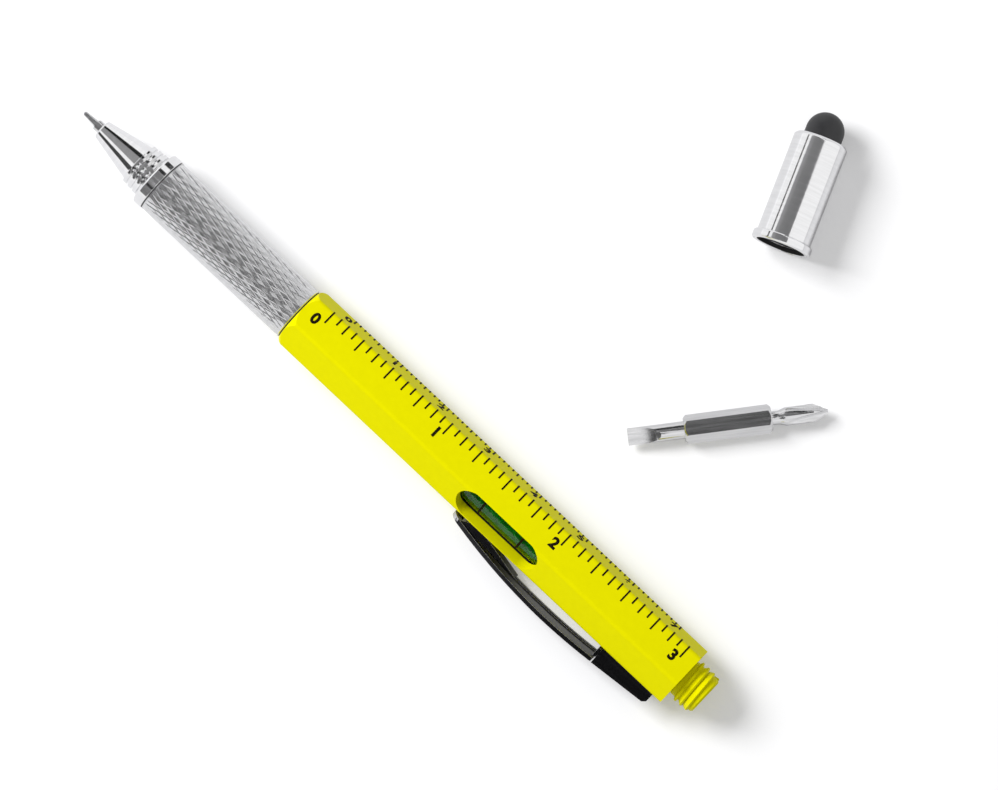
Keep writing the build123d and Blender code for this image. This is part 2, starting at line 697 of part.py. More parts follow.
def bow(start, end, inset):
    """The clip's bowed line along the pen, drawn in from the outside by an inset."""
    top_x = CLIP_TOP_X
    return ThreePointArc(
        (start, CLIP_TIP_OUT - inset),
        (top_x, CLIP_TOP_OUT - inset),
        (end, CLIP_ROOT_OUT - inset),
    )


def between(upper, lower, width):
    """The slab between two bowed lines, made as wide as given."""
    ends = [Line(upper @ 1, lower @ 1), Line(lower @ 0, upper @ 0)]
    outline = Plane.XZ * make_face([upper, ends[0], lower, ends[1]])
    return extrude(outline, width / 2, both=True)


def clip_plan(inset):
    """The clip's outline seen from outside: widest at the block, narrower and rounded at the tip."""
    root_x = BLOCK_FRONT_X - MOUTH_GAP
    tip = CLIP_TIP_WIDTH / 2 - inset
    root = CLIP_WIDTH / 2 - inset
    round_x = CLIP_TIP_X + CLIP_TIP_WIDTH / 2
    nose = ThreePointArc((round_x, -tip), (round_x - tip, 0), (round_x, tip))
    rest = Polyline(
        (round_x, tip),
        (CLIP_TOP_X, root),
        (root_x - inset, root),
        (root_x - inset, -root),
        (CLIP_TOP_X, -root),
        (round_x, -tip),
    )
    return make_face([nose, rest])


def bump():
    """The pressed bump near the clip's tip that bears on the barrel."""
    arm = bow(CLIP_TIP_X, BLOCK_FRONT_X - MOUTH_GAP, CLIP_SHEET / 2)
    land = BARREL_FLATS / 2 + FACE_GAP
    front_x = BUMP_LAND_X - BUMP_LAND - BUMP_FRONT
    high = CLIP_TIP_OUT
    points = [
        (BUMP_BACK_X, high + CLIP_SHEET),
        (BUMP_LAND_X, land),
        (BUMP_LAND_X - BUMP_LAND, land),
        (front_x, high - CLIP_SHEET),
        (front_x, high),
    ]
    wedge = side_prism(points, BUMP_WIDTH)
    return wedge & between(arm, Line((CLIP_TIP_X, land), (BLOCK_FRONT_X, land)), BUMP_WIDTH)


def clip_spring():
    """The bowed leaf under the tongue's tail that presses the clip's tip to the barrel."""
    seat = BARREL_FLATS / 2 + SEAT_GAP
    middle = (LEAF_START_X + LEAF_END_X) / 2
    low = ThreePointArc((LEAF_START_X, seat), (middle, seat + LEAF_RISE), (LEAF_END_X, seat))
    high = ThreePointArc(
        (LEAF_START_X, seat + LEAF_THICK),
        (middle, seat + LEAF_RISE + LEAF_THICK),
        (LEAF_END_X, seat + LEAF_THICK),
    )
    return between(high, low, LEAF_WIDTH)


def cap_place():
    """Where the cap lies: on its rim and on the edge of its far end, so its axis dips to the dome."""
    rim_rest = RIM_LENGTH - RIM_EDGE
    end_rest = CAP_LENGTH - CAP_END_EDGE
    dip = math.atan((RIM_OUTER - CAP_OUTER) / 2 / (end_rest - rim_rest))
    height = TABLE_Z + RIM_OUTER / 2 * math.cos(dip) + rim_rest * math.sin(dip)
    lie = Rot(0, 90 + math.degrees(dip), 0)
    return Pos(CAP_PLACE_X, CAP_PLACE_Y, height) * Rot(0, 0, CAP_HEADING_ANGLE) * lie


def cap_pieces():
    """The screw-on cap: shell, rim, thread insert, rubber dome and the plug that holds the dome."""
    outer = CAP_OUTER / 2
    room_top = CAP_LENGTH - STYLUS_WEB
    shell = lathe([
        (CAP_BORE / 2, 0),
        (outer, 0),
        (outer, CAP_LENGTH - CAP_END_EDGE),
        (outer - CAP_END_EDGE, CAP_LENGTH),
        (STYLUS_HOLE / 2, CAP_LENGTH),
        (STYLUS_HOLE / 2, room_top),
        (STYLUS_ROOM / 2, room_top),
        (STYLUS_ROOM / 2, CAP_BORE_DEPTH),
        (CAP_BORE / 2, CAP_BORE_DEPTH),
    ])
    hole = outer + SEAT_GAP
    rim = RIM_OUTER / 2
    ring = lathe([
        (hole, 0),
        (rim - RIM_EDGE, 0),
        (rim, RIM_EDGE),
        (rim, RIM_LENGTH - RIM_EDGE),
        (rim - RIM_EDGE, RIM_LENGTH),
        (hole, RIM_LENGTH),
    ])
    crest = THREAD_MAJOR / 2 - THREAD_DEPTH + CAP_THREAD_GAP
    root = THREAD_MAJOR / 2 + CAP_THREAD_GAP
    insert_outer = CAP_BORE / 2 - SEAT_GAP
    insert = lathe([
        (crest, CAP_THREAD_RECESS),
        (insert_outer, CAP_THREAD_RECESS),
        (insert_outer, CAP_THREAD_RECESS + CAP_INSERT_LENGTH),
        (crest, CAP_THREAD_RECESS + CAP_INSERT_LENGTH),
    ])
    groove = helical_ridge(
        THREAD_PITCH,
        STUD_LENGTH + CAP_THREAD_SPARE - CAP_THREAD_RECESS + OVERRUN,
        crest,
        root,
        THREAD_ROOT_WIDTH,
        THREAD_CREST_WIDTH,
    )
    insert -= Pos(0, 0, CAP_THREAD_RECESS - OVERRUN) * groove
    place = cap_place()
    export_step(place * shell, "parts/cap_shell.step")
    export_step(place * ring, "parts/cap_rim.step")
    export_step(place * insert, "parts/cap_thread.step")
    export_step(place * stylus_tip(), "parts/stylus_tip.step")
    export_step(place * stylus_plug(), "parts/stylus_plug.step")


def dome(radius, base, top_centre):
    """The outline of a round-headed rod about Z, as a spun solid."""
    arc = RadiusArc((0, top_centre + radius), (radius, top_centre), radius)
    rest = Polyline((radius, top_centre), (radius, base), (0, base), (0, top_centre + radius))
    return revolve(Plane.XZ * make_face([arc, rest]), Axis.Z)


def stylus_tip():
    """The hollow rubber dome with the flange that keeps it in the cap."""
    room_top = CAP_LENGTH - STYLUS_WEB
    base = room_top - STYLUS_FLANGE_LENGTH
    radius = STYLUS_OUTER / 2
    top_centre = CAP_LENGTH + STYLUS_STRAIGHT
    flange = lathe([(0, base), (STYLUS_FLANGE / 2, base), (STYLUS_FLANGE / 2, room_top), (0, room_top)])
    body = dome(radius, base, top_centre) + flange
    return body - dome(radius - STYLUS_WALL, base - OVERRUN, top_centre)


def stylus_plug():
    """The plug behind the dome, which closes the cap's inside."""
    base = CAP_LENGTH - STYLUS_WEB - STYLUS_FLANGE_LENGTH
    boss = STYLUS_OUTER / 2 - STYLUS_WALL - PLUG_BOSS_GAP
    disc = STYLUS_ROOM / 2 - SEAT_GAP
    return lathe([
        (0, CAP_BORE_DEPTH),
        (disc, CAP_BORE_DEPTH),
        (disc, base),
        (boss, base),
        (boss, CAP_LENGTH),
        (0, CAP_LENGTH),
    ])


def driver_bit():
    """The double-ended bit: slotted blade, hex body and cross point, along its own X axis."""
    hex_end = BIT_END_LENGTH + BIT_HEX_LENGTH
    length = hex_end + BIT_END_LENGTH
    corner = BIT_FLATS / 2 / math.cos(math.radians(FACE_ANGLE / 2))
    envelope = turned([
        (BIT_END_LENGTH, 0),
        (BIT_END_LENGTH, corner - BIT_HEX_CHAMFER),
        (BIT_END_LENGTH + BIT_HEX_CHAMFER, corner),
        (hex_end - BIT_HEX_CHAMFER, corner),
        (hex_end, corner - BIT_HEX_CHAMFER),
        (hex_end, 0),
    ])
    body = hexagon_bar(BIT_FLATS, BIT_END_LENGTH, hex_end) & envelope
    return body + blade() + cross_point(hex_end, length)


def blade():
    """The slotted end: a round shank ground hollow on both sides to a thin straight edge."""
    body = tube(0, BIT_END_LENGTH + BIT_HEX_CHAMFER, BIT_SHANK)
    for side in (-1, 1):
        centre = side * (BLADE_END / 2 + BLADE_GRIND)
        wheel = Cylinder(BLADE_GRIND, BIT_FLATS, rotation=(90, 0, 0))
        body -= Pos(0, 0, centre) * wheel
    return Rot(BLADE_TURN_ANGLE, 0, 0) * body


def cross_point(start, end):
    """The cross point: a swelling body that tapers to its tip, with four flutes."""
    swell = CROSS_BODY / 2
    body = turned([
        (start - BIT_HEX_CHAMFER, 0),
        (start - BIT_HEX_CHAMFER, CROSS_NECK / 2),
        (start + CROSS_NECK_LENGTH, CROSS_NECK / 2),
        (start + 2 * CROSS_NECK_LENGTH, swell),
        (end - CROSS_POINT_LENGTH, swell),
        (end, CROSS_POINT / 2),
        (end, 0),
    ])
    near = FLUTE / 2 + FLUTE_WEB / 2
    far = FLUTE / 2 + swell
    slope = math.degrees(math.atan((far - near) / FLUTE_LENGTH))
    for flute in range(FLUTE_COUNT):
        cutter = Cylinder(FLUTE / 2, FLUTE_LENGTH * 2, rotation=(0, 90 + slope, 0))
        body -= Rot(360 / FLUTE_COUNT * (flute + 1 / 2), 0, 0) * Pos(end, 0, near) * cutter
    return body


def bit_place():
    """Where the bit lies: on a flat of its hex, its cross point away from the pen."""
    height = TABLE_Z + BIT_FLATS / 2
    return Pos(BIT_PLACE_X, BIT_PLACE_Y, height) * Rot(0, 0, BIT_HEADING_ANGLE)


save("hex_barrel", hex_barrel())
save("tail_stud", tail_stud())
save("bit_magnet", tube(STUD_INNER_X, PILOT_END_X, MAGNET))
level_pieces()
twist_pieces()
grip_pieces()
nose_pieces()
refill_pieces()
save("return_spring", return_spring())
save("clip_block", on_face(CLIP_ANGLE, clip_block()))
save("clip_arm", on_face(CLIP_ANGLE, clip_arm()))
save("clip_pin", on_face(CLIP_ANGLE, clip_pin()))
save("clip_spring", on_face(CLIP_ANGLE, clip_spring()))
cap_pieces()
export_step(bit_place() * driver_bit(), "parts/driver_bit.step")
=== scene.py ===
"""Dresses the multi tool pen for its portrait: finishes, knurl, print, rounded metal, floor and light."""

import json
import logging
import math
from dataclasses import dataclass, field
from enum import Enum
from typing import Callable, Optional, Sequence

import bmesh
import bpy
from mathutils import Euler, Matrix, Vector

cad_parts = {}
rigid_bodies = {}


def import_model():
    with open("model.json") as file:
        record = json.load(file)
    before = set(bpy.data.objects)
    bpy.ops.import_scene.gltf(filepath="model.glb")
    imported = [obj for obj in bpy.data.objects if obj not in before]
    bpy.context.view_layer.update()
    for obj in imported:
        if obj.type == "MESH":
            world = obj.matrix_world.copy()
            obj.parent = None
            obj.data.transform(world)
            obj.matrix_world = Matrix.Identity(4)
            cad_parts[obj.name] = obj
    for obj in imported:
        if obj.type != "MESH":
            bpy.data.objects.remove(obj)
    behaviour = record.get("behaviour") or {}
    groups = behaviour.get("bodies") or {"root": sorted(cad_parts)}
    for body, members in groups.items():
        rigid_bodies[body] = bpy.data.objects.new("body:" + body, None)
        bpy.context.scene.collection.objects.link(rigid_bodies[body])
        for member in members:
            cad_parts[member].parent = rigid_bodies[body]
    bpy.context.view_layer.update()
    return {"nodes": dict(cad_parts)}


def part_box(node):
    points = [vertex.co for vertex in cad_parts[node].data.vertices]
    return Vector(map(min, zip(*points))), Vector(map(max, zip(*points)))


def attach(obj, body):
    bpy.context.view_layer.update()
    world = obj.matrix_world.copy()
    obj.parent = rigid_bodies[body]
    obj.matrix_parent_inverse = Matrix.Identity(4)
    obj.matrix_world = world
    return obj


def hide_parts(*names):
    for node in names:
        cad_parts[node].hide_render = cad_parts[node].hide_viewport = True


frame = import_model()

log = logging.getLogger("pen")

MM = 0.001
WELD = 0.0005 * MM
SEAT_GAP = 0.02
FLAT_ANGLE = 0.4
WINDOW_FACE_ANGLE = 60.0
METRIC_FACE_ANGLE = -60.0
CLIP_FACE_ANGLE = 120.0
ROLL_ANGLE = 10.5
CAP_DIP_ANGLE = 1.6198
CAP_HEADING_ANGLE = 112.0
BIT_HEADING_ANGLE = 50.8
TABLE_HEIGHT = -5.2627 * MM

Point = tuple[float, float]
Pick = Callable[[Vector, Vector], bool]


class Part(Enum):
    """What an edit-mode selection is made of."""

    POINTS = "VERT"
    EDGES = "EDGE"
    FACES = "FACE"


class Grain(Enum):
    """How the fine pattern of a finish runs, as stretches along, across and across the piece."""

    SPECKLE = (1.0, 1.0, 1.0)
    TURNED = (1.0, 0.06, 0.06)
    DRAWN = (0.05, 1.0, 1.0)


@dataclass(frozen=True)
class Finish:
    """One procedural finish, made with a fine pattern in the piece's own object coordinates."""

    name: str
    colour: tuple[float, float, float]
    roughness: float
    metallic: float = 0.0
    grain: Grain = Grain.SPECKLE
    grain_scale: float = 900.0
    shade_spread: float = 0.06
    rough_spread: float = 0.05
    bump: float = 0.03
    coat: float = 0.0
    transmission: float = 0.0
    ior: float = 1.5
    specular: float = 0.5
    turn: tuple[float, float, float] = (0.0, 0.0, 0.0)

    def material(self) -> bpy.types.Material:
        """Makes the finish as a node material, or gives the one made before.

        Returns:
            The Blender material.
        """
        made = bpy.data.materials.get(self.name)
        if made:
            return made
        made = bpy.data.materials.new(self.name)
        made.use_nodes = True
        nodes = made.node_tree.nodes
        links = made.node_tree.links
        nodes.clear()
        output = nodes.new("ShaderNodeOutputMaterial")
        shader = nodes.new("ShaderNodeBsdfPrincipled")
        place = nodes.new("ShaderNodeTexCoord")
        mapping = nodes.new("ShaderNodeMapping")
        noise = nodes.new("ShaderNodeTexNoise")
        links.new(shader.outputs["BSDF"], output.inputs["Surface"])
        links.new(place.outputs["Object"], mapping.inputs["Vector"])
        links.new(mapping.outputs["Vector"], noise.inputs["Vector"])
        mapping.vector_type = "TEXTURE"
        mapping.inputs["Rotation"].default_value = self.turn
        mapping.inputs["Scale"].default_value = [1.0 / stretch for stretch in self.grain.value]
        noise.inputs["Scale"].default_value = self.grain_scale
        noise.inputs["Detail"].default_value = 3.0
        shader.inputs["Metallic"].default_value = self.metallic
        shader.inputs["IOR"].default_value = self.ior
        shader.inputs["Specular IOR Level"].default_value = self.specular
        shader.inputs["Coat Weight"].default_value = self.coat
        shader.inputs["Coat Roughness"].default_value = 0.08
        shader.inputs["Transmission Weight"].default_value = self.transmission
        self._wire_colour(nodes, links, noise, shader)
        self._wire_roughness(nodes, links, noise, shader)
        if self.bump:
            self._wire_bump(nodes, links, noise, shader)
        return made

    def _wire_colour(
        self,
        nodes: bpy.types.Nodes,
        links: bpy.types.NodeLinks,
        noise: bpy.types.Node,
        shader: bpy.types.Node,
    ) -> None:
        """Varies the colour a little with the pattern.

        Args:
            nodes: The material's nodes.
            links: The material's links.
            noise: The pattern's node.
            shader: The surface shader.
        """
        ramp = nodes.new("ShaderNodeValToRGB")
        low, high = ramp.color_ramp.elements
        low.position, high.position = 0.3, 0.7
        low.color = [value * (1.0 - self.shade_spread) for value in self.colour] + [1.0]
        high.color = [min(1.0, value * (1.0 + self.shade_spread / 2)) for value in self.colour] + [1.0]
        links.new(noise.outputs["Fac"], ramp.inputs["Fac"])
        links.new(ramp.outputs["Color"], shader.inputs["Base Color"])

    def _wire_roughness(
        self,
        nodes: bpy.types.Nodes,
        links: bpy.types.NodeLinks,
        noise: bpy.types.Node,
        shader: bpy.types.Node,
    ) -> None:
        """Varies the gloss a little with the pattern.

        Args:
            nodes: The material's nodes.
            links: The material's links.
            noise: The pattern's node.
            shader: The surface shader.
        """
        spread = nodes.new("ShaderNodeMapRange")
        spread.inputs["To Min"].default_value = max(0.0, self.roughness - self.rough_spread)
        spread.inputs["To Max"].default_value = self.roughness + self.rough_spread
        links.new(noise.outputs["Fac"], spread.inputs["Value"])
        links.new(spread.outputs["Result"], shader.inputs["Roughness"])

    def _wire_bump(
        self,
        nodes: bpy.types.Nodes,
        links: bpy.types.NodeLinks,
        noise: bpy.types.Node,
        shader: bpy.types.Node,
    ) -> None:
        """Lets the pattern show as a very low relief.

        Args:
            nodes: The material's nodes.
            links: The material's links.
            noise: The pattern's node.
            shader: The surface shader.
        """
        relief = nodes.new("ShaderNodeBump")
        relief.inputs["Strength"].default_value = self.bump
        relief.inputs["Distance"].default_value = 0.05 * MM
        links.new(noise.outputs["Fac"], relief.inputs["Height"])
        links.new(relief.outputs["Normal"], shader.inputs["Normal"])


CAP_TURN = (0.0, math.radians(CAP_DIP_ANGLE), math.radians(CAP_HEADING_ANGLE))
BIT_TURN = (0.0, 0.0, math.radians(BIT_HEADING_ANGLE))

LACQUER = Finish(
    "yellow_lacquer_look", (0.79, 0.75, 0.0), 0.35, shade_spread=0.02, bump=0.01, specular=0.02
)
CHROME = Finish(
    "bright_chrome_look", (0.86, 0.86, 0.87), 0.09, 1.0, Grain.TURNED, 2600.0, 0.05, 0.05, bump=0.02
)
CAP_CHROME = Finish(
    "cap_chrome_look", (0.86, 0.86, 0.87), 0.1, 1.0, Grain.TURNED, 2600.0, 0.06, 0.06,
    bump=0.03, turn=CAP_TURN,
)
KNURL = Finish("knurled_silver_look", (0.76, 0.76, 0.77), 0.22, 1.0, grain_scale=1500.0, shade_spread=0.1)
NICKEL = Finish(
    "black_nickel_look", (0.07, 0.07, 0.075), 0.16, 1.0, Grain.DRAWN, 1800.0, 0.15, 0.05, bump=0.02
)
# A brighter nickel colour painted on the clip's rims: a painted highlight standing in for the bright edge
# reflections.
PAINTED_HIGHLIGHT_NICKEL = Finish(
    "rubbed_nickel_look", (0.6, 0.6, 0.61), 0.16, 1.0, Grain.DRAWN, 1800.0, 0.15, 0.05, bump=0.02
)
STEEL = Finish(
    "tool_steel_look", (0.7, 0.7, 0.71), 0.17, 1.0, Grain.DRAWN, 2600.0, 0.14, 0.05,
    bump=0.05, turn=BIT_TURN,
)
BRIGHT_STEEL = Finish("bright_steel_look", (0.72, 0.72, 0.73), 0.18, 1.0, Grain.TURNED, 2000.0)
BALL = Finish("hard_ball_look", (0.55, 0.55, 0.57), 0.1, 1.0, bump=0.0)
BRASS = Finish("turned_brass_look", (0.72, 0.5, 0.18), 0.25, 1.0, Grain.TURNED, 1500.0)
RUBBER = Finish("black_rubber_look", (0.022, 0.022, 0.024), 0.5, shade_spread=0.2, bump=0.08)
WASHER = Finish("dark_washer_look", (0.03, 0.03, 0.03), 0.6, shade_spread=0.2)
FOAM = Finish("foam_pad_look", (0.05, 0.05, 0.05), 0.9, grain_scale=2500.0, shade_spread=0.4, bump=0.4)
DARK_PLASTIC = Finish("black_plastic_look", (0.02, 0.02, 0.02), 0.4, shade_spread=0.2)
WHITE_PLASTIC = Finish("white_plastic_look", (0.72, 0.72, 0.7), 0.45, shade_spread=0.03)
PRINT = Finish(
    "black_print_look", (0.012, 0.008, 0.003), 0.6, shade_spread=0.3, bump=0.0, specular=0.05
)
INK = Finish("black_ink_look", (0.01, 0.01, 0.03), 0.2)
GREASE = Finish("clear_grease_look", (0.75, 0.7, 0.45), 0.3)
ACRYLIC = Finish(
    "clear_acrylic_look", (0.97, 0.99, 0.97), 0.03, rough_spread=0.02, shade_spread=0.01, bump=0.0,
    transmission=1.0, ior=1.49, specular=0.02,
)
LIQUID = Finish(
    "green_liquid_look", (0.001, 0.21, 0.004), 0.06, rough_spread=0.02, shade_spread=0.03, bump=0.0,
    transmission=0.3, ior=1.36, specular=0.02,
)
AIR = Finish(
    "air_bubble_look", (0.98, 1.0, 0.98), 0.02, rough_spread=0.01, shade_spread=0.01, bump=0.0,
    transmission=1.0, ior=0.75,
)

SLOTS: dict[str, tuple[Finish, tuple[str, ...]]] = {
    "yellow_lacquer": (LACQUER, ("hex_barrel", "tail_stud")),
    "bright_chrome": (CHROME, ("nose_cone", "nose_band", "cap_shell", "cap_rim")),
    "knurled_silver": (KNURL, ("grip_sleeve",)),
    "black_nickel": (NICKEL, ("clip_arm", "clip_block")),
    "tool_steel": (STEEL, ("driver_bit",)),
    "black_rubber": (RUBBER, ("stylus_tip",)),
    "dark_washer": (WASHER, ("nose_washer", "grip_washer")),
    "foam_pad": (FOAM, ("vial_cushion",)),
    "black_plastic": (DARK_PLASTIC, ("level_cradle", "guide_sleeve", "stylus_plug", "cap_thread")),
    "clear_acrylic": (ACRYLIC, ("vial_tube", "vial_plugs")),
    "green_liquid": (LIQUID, ("vial_liquid",)),
    "air_bubble": (AIR, ("level_bubble",)),
    "black_print": (PRINT, ("vial_rings",)),
    "turned_brass": (BRASS, ("grip_liner", "cam_sleeve", "cam_ring")),
    "white_plastic": (WHITE_PLASTIC, ("cam_follower",)),
    "bright_steel": (
        BRIGHT_STEEL,
        (
            "return_spring", "clip_spring", "clip_pin", "follower_pin", "bit_magnet", "refill_tube",
            "refill_tip",
        ),
    ),
    "hard_ball": (BALL, ("writing_ball",)),
    "black_ink": (INK, ("ink_column",)),
    "clear_grease": (GREASE, ("ink_grease",)),
}
SLOT_OF = {node: slot for slot, (_, nodes) in SLOTS.items() for node in nodes}


def deselect_all() -> None:
    """Leaves object mode's selection empty."""
    for item in bpy.context.view_layer.objects:
        item.select_set(False)
    bpy.context.view_layer.objects.active = None


def take(piece: bpy.types.Object) -> None:
    """Makes one object the selected and active one.

    Args:
        piece: The object to work on.
    """
    deselect_all()
    piece.select_set(True)
    bpy.context.view_layer.objects.active = piece


def start_edit(piece: bpy.types.Object, part: Part = Part.POINTS, everything: bool = True) -> None:
    """Opens a mesh in edit mode.

    Args:
        piece: The mesh object.
        part: What selections are made of.
        everything: Whether all of it starts selected.
    """
    take(piece)
    bpy.ops.object.mode_set(mode="EDIT")
    bpy.ops.mesh.select_mode(type=part.value)
    bpy.ops.mesh.select_all(action="SELECT" if everything else "DESELECT")


def end_edit() -> None:
    """Goes back to object mode."""
    bpy.ops.object.mode_set(mode="OBJECT")


def choose(piece: bpy.types.Object, part: Part, pick: Pick) -> int:
    """Selects points, edges or faces of the mesh in edit mode by their place and direction.

    Args:
        piece: The mesh object, in edit mode.
        part: What to select.
        pick: Says for a middle point and a direction whether it is selected. The direction is a
            point's or face's normal, or the way that an edge runs.

    Returns:
        How many were selected.
    """
    bpy.ops.mesh.select_mode(type=part.value)
    bpy.ops.mesh.select_all(action="DESELECT")
    shape = bmesh.from_edit_mesh(piece.data)
    count = 0
    if part is Part.POINTS:
        for point in shape.verts:
            if pick(point.co, point.normal):
                point.select_set(True)
                count += 1
    elif part is Part.EDGES:
        for edge in shape.edges:
            first, second = edge.verts[0].co, edge.verts[1].co
            if pick((first + second) / 2, (second - first).normalized()):
                edge.select_set(True)
                count += 1
    else:
        for face in shape.faces:
            if pick(face.calc_center_median(), face.normal):
                face.select_set(True)
                count += 1
    shape.select_flush_mode()
    bmesh.update_edit_mesh(piece.data)
    return count


def new_piece(name: str) -> bpy.types.Object:
    """Names the object that an operator has just added.

    Args:
        name: The piece's name.

    Returns:
        The object.
    """
    piece = bpy.context.active_object
    piece.name = name
    piece.data.name = name
    return piece


def settle(piece: bpy.types.Object) -> None:
    """Puts the object's place, turn and size into its mesh."""
    take(piece)
    bpy.ops.object.transform_apply(location=True, rotation=True, scale=True)


def place(piece: bpy.types.Object, matrix: Matrix) -> None:
    """Moves a finished piece and puts the move into its mesh.

    Args:
        piece: The object.
        matrix: The move.
    """
    piece.matrix_world = matrix @ piece.matrix_world
    settle(piece)


def tidy_normals(piece: bpy.types.Object) -> None:
    """Merges doubled points and turns the faces outwards."""
    start_edit(piece)
    bpy.ops.mesh.remove_doubles(threshold=WELD)
    bpy.ops.mesh.normals_make_consistent(inside=False)
    end_edit()


def smooth(piece: bpy.types.Object, angle: float = 30.0) -> None:
    """Shades a piece smooth, with sharp edges above an angle.

    Args:
        piece: The object.
        angle: The angle in degrees.
    """
    take(piece)
    bpy.ops.object.shade_smooth_by_angle(angle=math.radians(angle))


def run_modifier(piece: bpy.types.Object, kind: str, **settings: object) -> None:
    """Adds a modifier and applies it.

    Args:
        piece: The object.
        kind: The modifier's type.
        settings: The modifier's values.
    """
    take(piece)
    modifier = piece.modifiers.new(kind.lower(), kind)
    for key, value in settings.items():
        setattr(modifier, key, value)
    bpy.ops.object.modifier_apply(modifier=modifier.name)


def dress(piece: bpy.types.Object, finish: Finish) -> None:
    """Gives a piece its finish as its only material.

    Args:
        piece: The object.
        finish: The finish.
    """
    piece.data.materials.clear()
    piece.data.materials.append(finish.material())


def stand_in(piece: bpy.types.Object, node: str, finish: Optional[Finish] = None) -> None:
    """Lets a piece stand for a CAD node, on its body and with its finish.

    Args:
        piece: The new piece.
        node: The CAD node's name.
        finish: A finish of the piece's own, such as one whose grain is turned to its axis.
    """
    slot = SLOT_OF[node]
    dress(piece, finish or SLOTS[slot][0])
    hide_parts(node)
    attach(piece, frame["nodes"][node].parent.name.split(":")[1])
    log.info("%s: %d faces, stands for %s", piece.name, len(piece.data.polygons), node)


def with_supports(points: Sequence[Point], reach: float) -> list[Point]:
    """Adds a point near both ends of each long run, so that its rounded ends don't shade across it.

    Args:
        points: The profile's points, in millimetres.
        reach: How far from a corner the added points stand, in millimetres.

    Returns:
        The profile with the added points.
    """
    full = [points[0]]
    for before, after in zip(points, points[1:]):
        length = math.dist(before, after)
        if length > 3 * reach:
            for share in (reach / length, 1.0 - reach / length):
                full.append(tuple(a + (b - a) * share for a, b in zip(before, after)))
        full.append(after)
    return full


def turn_profile(
    name: str,
    points: Sequence[Point],
    rounding: float = 0.0,
    steps: int = 96,
    closed: bool = True,
) -> bpy.types.Object:
    """Turns a profile about the X axis, as on a lathe.

    Args:
        name: The piece's name.
        points: Places along the axis and radii, in millimetres.
        rounding: How far the profile's corners are rounded, in millimetres.
        steps: How many steps make the turn.
        closed: Whether the profile's last point joins its first.

    Returns:
        The turned piece.
    """
    if rounding:
        points = with_supports(points, 3 * rounding)
    bpy.ops.object.select_all(action="DESELECT")
    bpy.ops.mesh.primitive_plane_add(size=MM, location=(points[0][0] * MM, 0.0, points[0][1] * MM))
    piece = new_piece(name)
    settle(piece)
    start_edit(piece)
    bpy.ops.mesh.merge(type="CENTER")
    for before, after in zip(points, points[1:]):
        way = ((after[0] - before[0]) * MM, 0.0, (after[1] - before[1]) * MM)
        bpy.ops.mesh.extrude_region_move(TRANSFORM_OT_translate={"value": way})
    if closed:
        ends = [Vector((p[0] * MM, 0.0, p[1] * MM)) for p in (points[0], points[-1])]
        choose(piece, Part.POINTS, lambda co, _: min((co - end).length for end in ends) < 1e-7)
        bpy.ops.mesh.edge_face_add()
    if rounding:
        choose(piece, Part.POINTS, lambda co, _: co.z > 0.01 * MM)
        bpy.ops.mesh.bevel(offset=rounding * MM, segments=3, affect="VERTICES", clamp_overlap=True)
    bpy.ops.mesh.select_all(action="SELECT")
    bpy.ops.mesh.spin(steps=steps, angle=2 * math.pi, center=(0.0, 0.0, 0.0), axis=(1.0, 0.0, 0.0))
    end_edit()
    tidy_normals(piece)
    smooth(piece)
    return piece


def merged_copy(node: str, name: str) -> bpy.types.Object:
    """Copies a CAD node's mesh and joins its loose triangles into plain faces.

    Args:
        node: The CAD node's name.
        name: The copy's name.

    Returns:
        The copy.
    """
    source = frame["nodes"][node]
    piece = bpy.data.objects.new(name, source.data.copy())
    piece.data.name = name
    bpy.context.scene.collection.objects.link(piece)
    take(piece)
    bpy.ops.mesh.customdata_custom_splitnormals_clear()
    start_edit(piece)
    bpy.ops.mesh.remove_doubles(threshold=WELD)
    bpy.ops.mesh.dissolve_limited(angle_limit=math.radians(FLAT_ANGLE))
    bpy.ops.mesh.normals_make_consistent(inside=False)
    end_edit()
    return piece


def rounded_copy(node: str, name: str, width: float, angle: float = 30.0) -> bpy.types.Object:
    """Copies a CAD node's mesh and rounds its sharp edges.

    Args:
        node: The CAD node's name.
        name: The copy's name.
        width: The rounding's width in millimetres.
        angle: The least angle of an edge that is rounded, in degrees.

    Returns:
        The rounded copy.
    """
    piece = merged_copy(node, name)
    run_modifier(
        piece,
        "BEVEL",
        width=width * MM,
        segments=3,
        limit_method="ANGLE",
        angle_limit=math.radians(angle),
        use_clamp_overlap=True,
    )
    smooth(piece, 35.0)
    run_modifier(piece, "WEIGHTED_NORMAL", keep_sharp=True)
    return piece


def on_face(angle: float) -> Matrix:
    """The turn from the top of a flat-lying pen to one of the barrel's faces, as the pen lies."""
    return Matrix.Rotation(math.radians(angle - ROLL_ANGLE), 4, "X")


